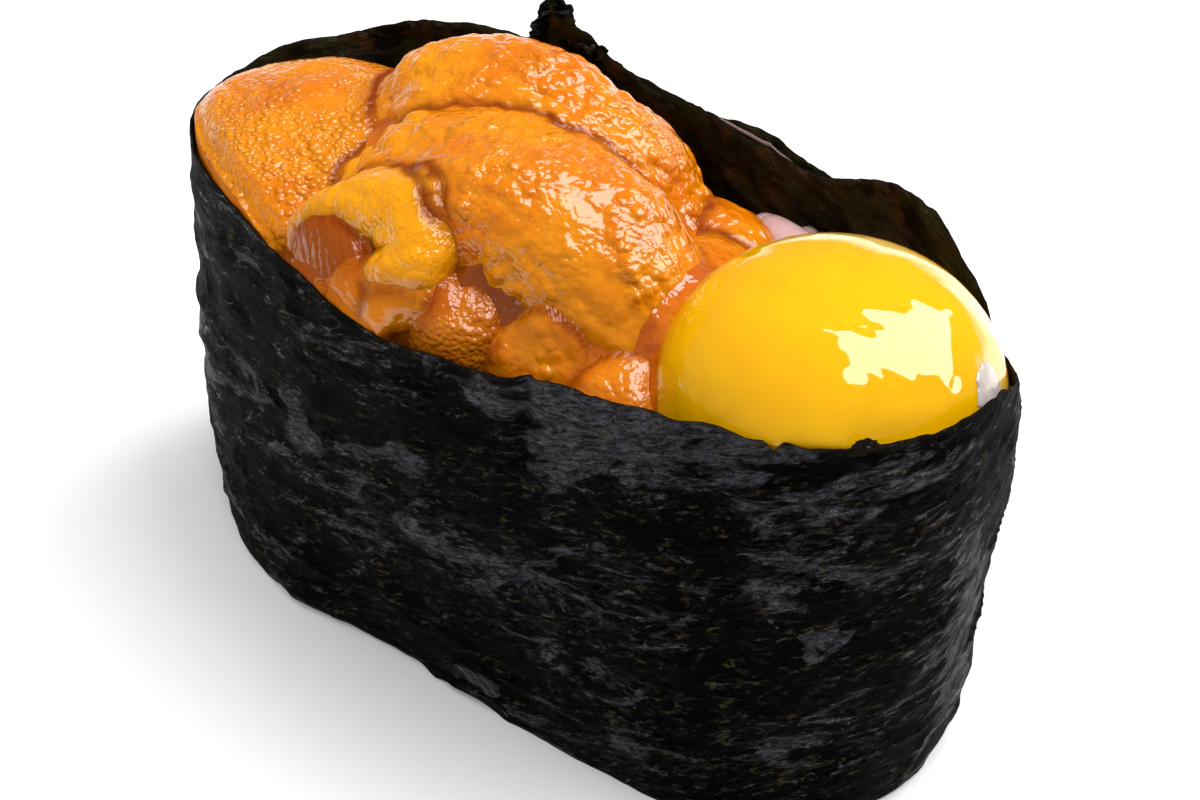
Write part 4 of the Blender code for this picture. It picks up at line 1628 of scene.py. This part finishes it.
@dataclass
class UrchinHeap:
    """All the tongues, softened into each other where they meet and covered in beads."""

    band: Band
    finish: Finish
    spacing: float = 0.17
    grow: float = 0.12
    fillet: float = 2.8
    wave_depth: float = 0.22
    fold_depth: float = 0.14
    bead_size: float = 0.55
    bead_height: float = 0.06
    blob_size: float = 1.15
    blob_height: float = 0.26
    knob_size: float = 1.5
    knob_height: float = 0.7
    knob_reach: float = 8.0
    rib_step: float = 0.48
    rib_depth: float = 0.02
    rib_way: Direction = (0.79, 0.61, 0.2)
    into_wall: float = 0.12
    shoulder: float = 1.6
    shoulder_drop: float = 1.0
    line_cell: float = 0.22
    line_step: float = 0.9
    line_width: float = 0.2
    line_strength: float = 1.5
    line_depth: float = 0.6
    placed: list[Array] = field(default_factory=list)

    def _swept(self, tongue: Tongue) -> tuple[Array, Array, Array]:
        """Sweeps a tongue on a grid whose steps are about the spacing.

        Args:
            tongue: The tongue to cover.

        Returns:
            First pole, rings and last pole.
        """
        length = np.linalg.norm(np.diff(np.array(tongue.spine), axis=0), axis=1).sum()
        girth = math.pi * (max(tongue.half_widths) + max(tongue.half_depths))
        rings = int(np.clip(1.25 * length / self.spacing, 30, 230))
        sides = int(np.clip(0.8 * girth / self.spacing, 36, 200))
        return tongue.base(rings, sides, self.grow)

    def meeting(self, points: Array, others: Sequence[Tongue]) -> tuple[Array, Array]:
        """Softens a surface towards its neighbours.

        It swells by a quarter of the fillet times the squared share of the way in, and its crease rises in
        two eased steps.

        Args:
            points: The surface's points.
            others: The tongues that it may touch.

        Returns:
            How far each point swells, and its crease from 0 to 1.
        """
        swell, crease = np.zeros(len(points)), np.zeros(len(points))
        low, high = points.min(0) - 2.0, points.max(0) + 2.0
        for other in others:
            spine = np.array(other.spine)
            reach = max(*other.half_widths, *other.half_depths)
            if (spine.min(0) - reach > high).any() or (spine.max(0) + reach < low).any():
                continue
            gap = other.outside(points)
            near = np.clip(1 - np.abs(gap) / self.fillet, 0, 1)
            swell = np.maximum(swell, self.fillet / 4 * near**2)
            crease = np.maximum(crease, 0.5 * ease(1 - gap / 1.6) + 0.5 * ease(1 - gap / 0.5))
        return swell, crease

    def relief(self, tongue: Tongue, points: Array) -> tuple[Array, dict[str, Array]]:
        """Works out the small shapes on a tongue's skin.

        Waves and folds are noise. Beads, lumps and knobs are one less the squared distance to scattered dots,
        and ribs are a sine across the tongue.

        Args:
            tongue: The tongue.
            points: Its plain surface's points.

        Returns:
            How far each point stands out, and the named values for the finish.
        """
        wave = Field.fractal(points, 2.8, 3, 17, 0.55) + 1.1 * Field.value(points, 5.2, 19)
        folds = Field.ridges(points, 4.6, 2, 23)
        bead = 1 - np.clip(Field.cells(points, self.bead_size, 11, 0.75), 0, 1) ** 2
        covered = tongue.beads * np.clip(0.65 + 0.8 * Field.value(points, 3.1, 29), 0.15, 1.0)
        dressed = 1 - 0.85 * ease((tongue.smooth_below - points[:, 2]) / 2.5)
        covered = covered * dressed * (1 - 0.3 * tongue.coarse)
        from_end = np.linalg.norm(points - np.array(tongue.spine[0]), axis=1) - tongue.half_widths[0]
        knobbed = tongue.knobs * ease(1 - from_end / self.knob_reach)
        knob = 1 - np.clip(1.15 * Field.cells(points, self.knob_size, 31, 0.8), 0, 1) ** 2
        blob = np.clip(1 - 1.9 * Field.cells(points, self.blob_size, 41, 0.8) ** 2, 0, 1)
        patchy = ease(0.55 + 1.6 * Field.value(points, 3.6, 43))
        blob = blob * tongue.coarse * dressed * patchy * (1 - knobbed)
        phase = (points @ np.array(self.rib_way)) * (2 * math.pi / self.rib_step)
        ribs = tongue.ribs * np.sin(phase + 1.2 * Field.value(points, 1.4, 37))
        out = self.wave_depth * wave - self.fold_depth * folds**4 + self.bead_height * covered * bead
        out = out + self.blob_height * blob + self.knob_height * knobbed * knob + self.rib_depth * ribs
        values = {
            "tone": tongue.tone + 0.45 * knobbed,
            "beads": covered,
            "ribs": ribs,
            "coarse": tongue.coarse * dressed * (1 - 0.8 * knobbed),
        }
        return out, values

    def skin(self, tongue: Tongue, others: Sequence[Tongue]) -> Skin:
        """Builds one tongue in full detail, pressed inside the band, its shoulders falling away at the wall.

        Args:
            tongue: The tongue.
            others: The rest, which it may touch.

        Returns:
            The surface, with its creases (where shade is painted), tone, beads, ribs, lumps and pressed
            sides.
        """
        skin = Skin.over(*self._swept(tongue))
        swell, crease = self.meeting(skin.points, others)
        out, values = self.relief(tongue, skin.points)
        free = skin.points + skin.normals() * (swell + out * (1 - 0.5 * crease))[:, None]
        points = self.band.press_inside(free, -self.into_wall)
        pressed = ease(np.linalg.norm(points - free, axis=1) / 0.3)
        inner = self.band.press_inside(free, self.shoulder)
        moved = np.linalg.norm(inner - free, axis=1)
        near_wall = np.clip(moved / (self.shoulder + self.into_wall), 0, 1)
        points[:, 2] -= self.shoulder_drop * near_wall**2
        points[:, 2] = np.maximum(points[:, 2], BED_TOP)
        # Flesh pressed on the wall takes the crease's painted shade too.
        crease = np.clip(np.maximum(crease, 0.6 * pressed), 0, 1)
        values["beads"] = values["beads"] * (1 - 0.7 * pressed) * (1 - 0.6 * crease)
        values["coarse"] = values["coarse"] * (1 - crease)
        skin.points = points
        skin.values = {"crease": crease, "side": pressed, **values}
        return skin

    def line(self, skins: Sequence[Skin]) -> None:
        """Gives each surface a value that peaks where, seen from above, its top gives way to another's; the
        finish paints a dark red line of shade there.

        Args:
            skins: Every tongue's surface.
        """
        tops = [PlanMap.tops([skin.points], self.line_cell, 0.0).widened() for skin in skins]
        heights = np.stack([top.values for top in tops])
        owner, highest = heights.argmax(axis=0), heights.max(axis=0)
        change = np.zeros(owner.shape)
        for axis in (0, 1):
            for step in (-1, 1):
                level = np.abs(highest - np.roll(highest, step, axis)) < self.line_step
                change[(owner != np.roll(owner, step, axis)) & level] = 1.0
        marks = PlanMap(change, self.line_cell).blurred(self.line_width)
        top = PlanMap(highest, self.line_cell)
        for skin in skins:
            plan = skin.points[:, :2]
            below = (skin.points[:, 2] - top.at(plan)) / self.line_depth
            skin.values["line"] = np.clip(self.line_strength * marks.at(plan), 0, 1) * np.exp(-(below**2))

    def build(self) -> None:
        """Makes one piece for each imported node."""
        every = [t for parts in TONGUES.values() for t in parts]
        skins = [self.skin(t, [o for o in every if o is not t]) for t in every]
        self.line(skins)
        for name, parts in TONGUES.items():
            joined = Skin.joined([skins[every.index(t)] for t in parts])
            self.placed.append(joined.points)
            place_piece(joined, name + "_flesh", self.finish, (name,))


@dataclass
class QuailYolk:
    """The yolk: a fat oval dome with its base pressed flat."""

    band: Band
    finish: Finish
    centre: tuple[float, float, float] = (18.5, -0.75, 27.0)
    radius: float = 10.9
    rise: float = 9.05
    power: float = 2.2
    rings: int = 150
    sides: int = 220
    wobble: float = 0.12
    film_side: Direction = (-0.10, 0.87, -0.48)
    film_from: float = -0.16
    film_share: float = 0.6
    low_from: float = 30.5
    into_wall: float = 0.25
    points: Optional[Array] = None

    def dome(self, turn: Array, lift: Array, out: Union[float, Array]) -> Array:
        """Turns a superellipse about the upright axis: its coordinates are powers of cosine and sine.

        Args:
            turn: Headings in radians.
            lift: Angles above the waist in radians.
            out: How far outside the skin.

        Returns:
            The points.
        """
        bulge = np.cos(lift) ** (2 / self.power)
        height = np.sign(np.sin(lift)) * np.abs(np.sin(lift)) ** (2 / self.power)
        x = (self.radius + out) * bulge * np.cos(turn)
        y = (self.radius + out) * bulge * np.sin(turn)
        z = (self.rise + out) * height * np.ones_like(turn)
        return np.array(self.centre) + np.stack([x, y, z], -1)

    def skin(self) -> Skin:
        """Covers the dome from pole to pole, wavers it by noise, and flattens its base on the bed.

        Returns:
            The surface, with a value that rises to 1 low down its side, where shade is painted, and one for
            the painted reflection behind.
        """
        lift = math.pi * (np.arange(self.rings + 2) / (self.rings + 1) - 0.5)
        turn = 2 * np.pi * np.arange(self.sides) / self.sides
        points = self.dome(turn, lift[:, None], 0.0)
        points += self.wobble * Field.fractal(points, 9.0, 2, 91)[..., None] * np.array([0.3, 0.3, 1.0])
        points = self.band.press_inside(points, 0.02)
        points[..., 2] = np.maximum(points[..., 2], BED_TOP)
        skin = Skin.over(points[0, 0], points[1:-1], points[-1, 0])
        # Where the skin faces this way near the outline, a painted creamy reflection lies.
        behind = skin.normals() @ np.array(self.film_side) + 0.16 * Field.fractal(skin.points, 3.4, 3, 95)
        ribbon = ease((behind - self.film_from) / 0.06) * (1 - ease(behind / 0.3))
        skin.values = {
            "low": ease((self.low_from - skin.points[:, 2]) / 7.0),
            "film": self.film_share * ribbon,
        }
        return skin

    def laid(self, turn: float, lift: float) -> Ground:
        """Maps a flat piece on the yolk's skin round one place.

        Args:
            turn: Heading of the place in radians.
            lift: Its angle above the yolk's waist in radians.

        Returns:
            A function of the two flat coordinates and the distance out.
        """

        def ground(u: Array, v: Array, out: Array) -> Array:
            """Gives the points that far round, up and out from the place."""
            points = self.dome(turn + u / self.radius, lift + v / self.rise, out)
            return self.band.press_inside(points, -self.into_wall)

        return ground

    def build(self) -> None:
        """Makes the piece."""
        skin = self.skin()
        self.points = skin.points
        place_piece(skin, "yolk_skin", self.finish, ("yolk",))


@dataclass
class EggWhite:
    """What is left of the white: a film where yolk meets rim, and a wet line between the nori's layers, both
    pale partly as painted highlights.
    """

    yolk: QuailYolk
    strip: NoriStrip
    finish: Finish
    film: Patch = Patch(1.7, 1.5, 0.12, ragged=0.35, crown=0.06, seed=3)
    film_turn: float = 13.0
    film_lift: float = 0.42
    seam: Patch = Patch(3.6, 0.08, 0.14, ragged=0.5, seed=4)
    seam_turn: float = 30.0

    def build(self) -> None:
        """Makes the piece."""
        film = self.film.skin(self.yolk.laid(math.radians(self.film_turn), self.film_lift), {"dim": 0.0})
        seam = self.seam.skin(self.strip.laid(self.seam_turn, None), {"dim": 1.0})
        place_piece(Skin.joined([film, seam]), "egg_white", self.finish)


@dataclass
class RiceBed:
    """The bed of rice: a core that fills the band and real grains below it and where it shows above."""

    band: Band
    finish: Finish
    top: float = 19.4
    bottom: float = 1.6
    core_gap: float = 0.45
    core_sides: int = 180
    core_levels: int = 14
    cap_rings: int = 26
    mound_at: tuple[float, float] = (7.4, 11.0)
    mound_height: float = 6.0
    mound_radius: float = 2.8
    grain_length: float = 6.2
    grain_width: float = 2.9
    grain_bend: float = 0.035
    grain_flatness: float = 0.85
    grain_blunt: float = 0.62
    grain_rings: int = 9
    grain_sides: int = 12
    seen_at: tuple[float, float, float] = (7.6, 11.3, 26.1)
    seen_turn: float = -18.0
    seen_tilt: float = 6.0
    under_height: float = 1.32
    under_size: tuple[float, float] = (24.6, 9.6)
    row_step: float = 2.9
    column_step: float = 4.6
    loose_grains: int = 46
    loose_low: tuple[float, float] = (3.0, 7.0)
    loose_high: tuple[float, float] = (27.0, 12.5)
    seed: int = 7

    def surface_height(self, plan: Array) -> Array:
        """Reads the bed's top, which rises to a mound as one over e to the squared distance."""
        away = np.linalg.norm(plan - np.array(self.mound_at), axis=-1) / self.mound_radius
        return self.top + self.mound_height * np.exp(-away * away)

    def core(self) -> Skin:
        """Stacks rings of the band's inner face and closes them with a top of shrinking rings.

        Returns:
            The core's surface.
        """
        angle = np.linspace(0, 360, self.core_sides, endpoint=False)
        levels = np.linspace(self.bottom, self.top, self.core_levels)
        side = np.stack([self.band.wall(angle, np.full_like(angle, z), -self.core_gap) for z in levels])
        middle_low, middle = side[0].mean(0), side[-1].mean(0)
        inward = np.linspace(0.06, 0.98, self.cap_rings)[:, None, None]
        below = middle_low + (side[0] - middle_low) * inward
        above = middle + (side[-1] - middle) * inward[::-1]
        above[..., 2] = self.surface_height(above[..., :2])
        rings = np.concatenate([below, side, above])
        last = np.array([*middle[:2], self.surface_height(middle[None, :2])[0]])
        skin = Skin.over(middle_low, rings, last)
        # The top of the core takes the painted pink bounce light.
        skin.values = {"stain": ease((skin.points[:, 2] - 19.0) / 3.0)}
        return skin

    def grain(self, centre: Array, turn: float, tilt: float, size: float) -> Skin:
        """Sweeps a circle along a short bent line, its radius the sine of the place to a small power.

        Args:
            centre: Its middle.
            turn: Heading in plan, in radians.
            tilt: Tilt from level, in radians.
            size: Its size beside a common grain's.

        Returns:
            The grain's surface.
        """
        place = (np.arange(1, self.grain_rings + 1) / (self.grain_rings + 1))[:, None]
        x = -np.cos(np.pi * place) * self.grain_length / 2 * size
        radius = np.sin(np.pi * place) ** self.grain_blunt * self.grain_width / 2 * size
        around = 2 * np.pi * np.arange(self.grain_sides) / self.grain_sides
        bend = self.grain_bend * x**2 / size
        upward = self.grain_flatness * radius * np.sin(around)
        ring = np.stack([x * np.ones_like(around), radius * np.cos(around) + bend, upward], -1)
        ends = np.array([[-1.0, 0, 0], [1.0, 0, 0]]) * self.grain_length / 2 * size
        ends[:, 1] = self.grain_bend * ends[:, 0] ** 2 / size
        c, s, ct, st = math.cos(turn), math.sin(turn), math.cos(tilt), math.sin(tilt)
        spin = np.array([[ct * c, ct * s, st], [-s, c, 0], [-st * c, -st * s, ct]])
        skin = Skin.over(ends[0], ring, ends[1])
        skin.points = skin.points @ spin + centre
        return skin

    def grains(self) -> Skin:
        """Scatters grains on a jittered lattice under the bed and over its top behind the yolk.

        Returns:
            All the grains in one surface.
        """
        draw = np.random.default_rng(self.seed)
        seen_turn, seen_tilt = math.radians(self.seen_turn), math.radians(self.seen_tilt)
        made = [self.grain(np.array(self.seen_at), seen_turn, seen_tilt, 1.0)]
        for row, y in enumerate(np.arange(-12.4, 12.5, self.row_step)):
            for x in np.arange(-29.0, 27.0, self.column_step) + (row % 2) * self.column_step / 2:
                at = np.array([x, y]) + draw.uniform(-0.8, 0.8, 2)
                turn, tilt, size = draw.uniform(0, np.pi), draw.uniform(-0.15, 0.15), draw.uniform(0.88, 1.05)
                if (np.abs(at / np.array(self.under_size)) ** 2.4).sum() < 1:
                    centre = np.array([*(at + self.band.foot_centre), self.under_height])
                    made.append(self.grain(centre, turn, tilt * 0.3, size))
        for _ in range(self.loose_grains):
            at = np.array([draw.uniform(low, high) for low, high in zip(self.loose_low, self.loose_high)])
            height = self.surface_height(at) - 0.3 + draw.uniform(-0.2, 0.5)
            turn, tilt, size = draw.uniform(0, np.pi), draw.uniform(-0.35, 0.35), draw.uniform(0.85, 1.05)
            made.append(self.grain(np.array([*at, height]), turn, tilt, size))
        joined = Skin.joined(made)
        joined.points = self.band.press_inside(joined.points, 0.05)
        joined.points[:, 2] = np.maximum(joined.points[:, 2], 0.0)
        # Grains near the top take the painted pink bounce light.
        joined.values = {"stain": 0.85 * ease((joined.points[:, 2] - 18.0) / 3.0)}
        return joined

    def build(self) -> None:
        """Makes the core and the grains."""
        place_piece(self.core(), "rice_core", self.finish, ("rice",))
        place_piece(self.grains(), "rice_grains", self.finish)


@dataclass
class Sauce:
    """The liquor between the tongues: the heap's own height, blurred and let down a little."""

    band: Band
    finish: Finish
    cell: float = 0.3
    ground: float = 19.5
    blur: float = 1.05
    drop: float = 0.42
    depth: float = 1.2
    edge_height: float = 28.0
    below_rim: float = 0.7
    inward_rise: float = 10.0
    rings: int = 110
    sides: int = 300

    def skin(self, clouds: Sequence[Array]) -> Skin:
        """Lays the blurred heights over rings from the wall to the middle, above a floor a little lower.

        Args:
            clouds: Points of each piece in the heap.

        Returns:
            The surface, with a value that rises to 1 at the front left, where it is deep and painted shade
            darkens it.
        """
        angle = np.linspace(0, 360, self.sides, endpoint=False)
        edge = self.band.wall(angle, np.full(self.sides, self.edge_height), -0.15)
        middle = edge.mean(0)
        share = np.linspace(1.0, 0.01, self.rings)[:, None, None]
        plan = (middle + (edge - middle) * share)[..., :2]
        top = PlanMap.tops(clouds, self.cell, self.ground).blurred(self.blur).at(plan) - self.drop
        rim = self.band.rim_height((self.band.start_angle - angle) % 360.0)
        top = np.minimum(top, rim - self.below_rim + self.inward_rise * (1 - share[..., 0]))
        upper = np.concatenate([plan, top[..., None]], -1)
        upper = self.band.press_inside(upper, -0.1)
        lower = upper.copy()
        lower[..., 2] -= self.depth
        rings = np.concatenate([lower[::-1], upper])
        skin = Skin.over(lower[-1].mean(0), rings, upper[-1].mean(0))
        x, y = skin.points[:, 0], skin.points[:, 1]
        skin.values = {"deep": ease((-2.0 - y) / 4.0) * ease((7.0 - x) / 5.0)}
        return skin

    def build(self, clouds: Sequence[Array]) -> None:
        """Makes the piece over the points of each piece in the heap."""
        place_piece(self.skin(clouds), "sauce_pool", self.finish)


def aimed(name: str, data: Any, x: Vector, y: Vector, back: Vector, at: Vector) -> bpy.types.Object:
    """Puts a camera or a light in the scene.

    Args:
        name: Its name.
        data: Its camera or light data.
        x: Its unit direction to the right.
        y: Its unit upward direction.
        back: Its unit direction away from what it faces.
        at: Its place in metres.

    Returns:
        The new object.
    """
    made = bpy.data.objects.new(name, data)
    made.matrix_world = Matrix([[x[i], y[i], back[i], at[i]] for i in range(3)] + [[0, 0, 0, 1]])
    bpy.context.scene.collection.objects.link(made)
    return made


@dataclass(frozen=True)
class Softbox:
    """A rectangular light that faces the object, at a direction and a distance in metres from it.

    Its length follows the direction along as near as it can, and glossy surfaces show it if it is mirrored.
    """

    name: str
    towards: Direction
    away: float
    size: tuple[float, float]
    watts: float
    along: Direction
    mirrored: bool = False
    aim_height: float = 0.02

    def hang(self) -> None:
        """Makes the light."""
        data = bpy.data.lights.new(self.name, "AREA")
        data.shape = "RECTANGLE"
        data.size, data.size_y = self.size
        data.energy = self.watts
        back = Vector(self.towards).normalized()
        x = (Vector(self.along) - Vector(self.along).dot(back) * back).normalized()
        at = back * self.away + Vector((0, 0, self.aim_height))
        made = aimed(self.name, data, x, back.cross(x), back, at)
        made.visible_glossy = self.mirrored


@dataclass
class Studio:
    """Camera, floor and lights: the key behind and above, a fill on the left and a wide one overhead."""

    azimuth: float = 37.5
    elevation: float = 41.35
    roll: float = -2.55
    distance: float = 229.0
    target: tuple[float, float, float] = (-0.38, 0.88, 16.43)
    lens: float = 104.64
    sensor: float = 36.0
    floor_reach: float = 2.5
    room_light: float = 0.16
    softboxes: tuple[Softbox, ...] = (
        Softbox("key", (0.37, 0.46, 0.81), 0.32, (0.36, 0.24), 1.7, (0.5, 0.75, -0.92), mirrored=True),
        Softbox("fill", (-0.62, -0.78, 0.3), 0.5, (0.7, 0.4), 0.9, (0.78, -0.62, 0.0)),
        Softbox("overhead", (-0.1, -0.15, 1.0), 0.9, (1.6, 1.6), 11.0, (1.0, 0.0, 0.0)),
    )

    def camera(self) -> None:
        """Aims the camera at the target from its azimuth and elevation, and rolls it about its own axis."""
        a, e, r = (math.radians(x) for x in (self.azimuth, self.elevation, self.roll))
        back = Vector((math.sin(a) * math.cos(e), -math.cos(a) * math.cos(e), math.sin(e)))
        right = Vector((math.cos(a), math.sin(a), 0.0))
        up = back.cross(right)
        x = math.cos(r) * right + math.sin(r) * up
        y = -math.sin(r) * right + math.cos(r) * up
        at = Vector((np.array(self.target) + LAYOUT_SHIFT) * MM) + back * self.distance * MM
        data = bpy.data.cameras.new("camera")
        data.sensor_width, data.lens = self.sensor, self.lens
        data.clip_start, data.clip_end = 0.01, 10.0
        bpy.context.scene.camera = aimed("camera", data, x, y, back, at)

    def floor(self) -> None:
        """Lays a wide plain floor at the object's foot."""
        mesh = bpy.data.meshes.new("floor")
        far = self.floor_reach
        mesh.from_pydata([(-far, -far, 0), (far, -far, 0), (far, far, 0), (-far, far, 0)], [], [(0, 1, 2, 3)])
        made = bpy.data.objects.new("floor", mesh)
        made.data.materials.append(FloorFinish().material())
        bpy.context.scene.collection.objects.link(made)

    def lights(self) -> None:
        """Hangs the lights in a room of soft white."""
        for softbox in self.softboxes:
            softbox.hang()
        world = bpy.data.worlds.new("room")
        world.use_nodes = True
        background = world.node_tree.nodes["Background"]
        background.inputs["Color"].default_value = (1.0, 1.0, 1.0, 1.0)
        background.inputs["Strength"].default_value = self.room_light
        bpy.context.scene.world = world
        bpy.context.scene.view_settings.view_transform = "Standard"

    def build(self) -> None:
        """Sets up the whole studio."""
        self.camera()
        self.floor()
        self.lights()


def main() -> None:
    """Builds every piece in order, then the studio."""
    band = Band()
    nori = NoriFinish()
    strip = NoriStrip(band, nori)
    strip.build()
    NoriScraps(strip, nori).build()
    rice = RiceBed(band, RiceFinish())
    rice.build()
    yolk = QuailYolk(band, YolkFinish())
    yolk.build()
    EggWhite(yolk, strip, EggWhiteFinish()).build()
    heap = UrchinHeap(band, UrchinFinish())
    heap.build()
    Sauce(band, SauceFinish()).build([*heap.placed, yolk.points])
    Studio().build()


if __name__ == "__main__":
    main()
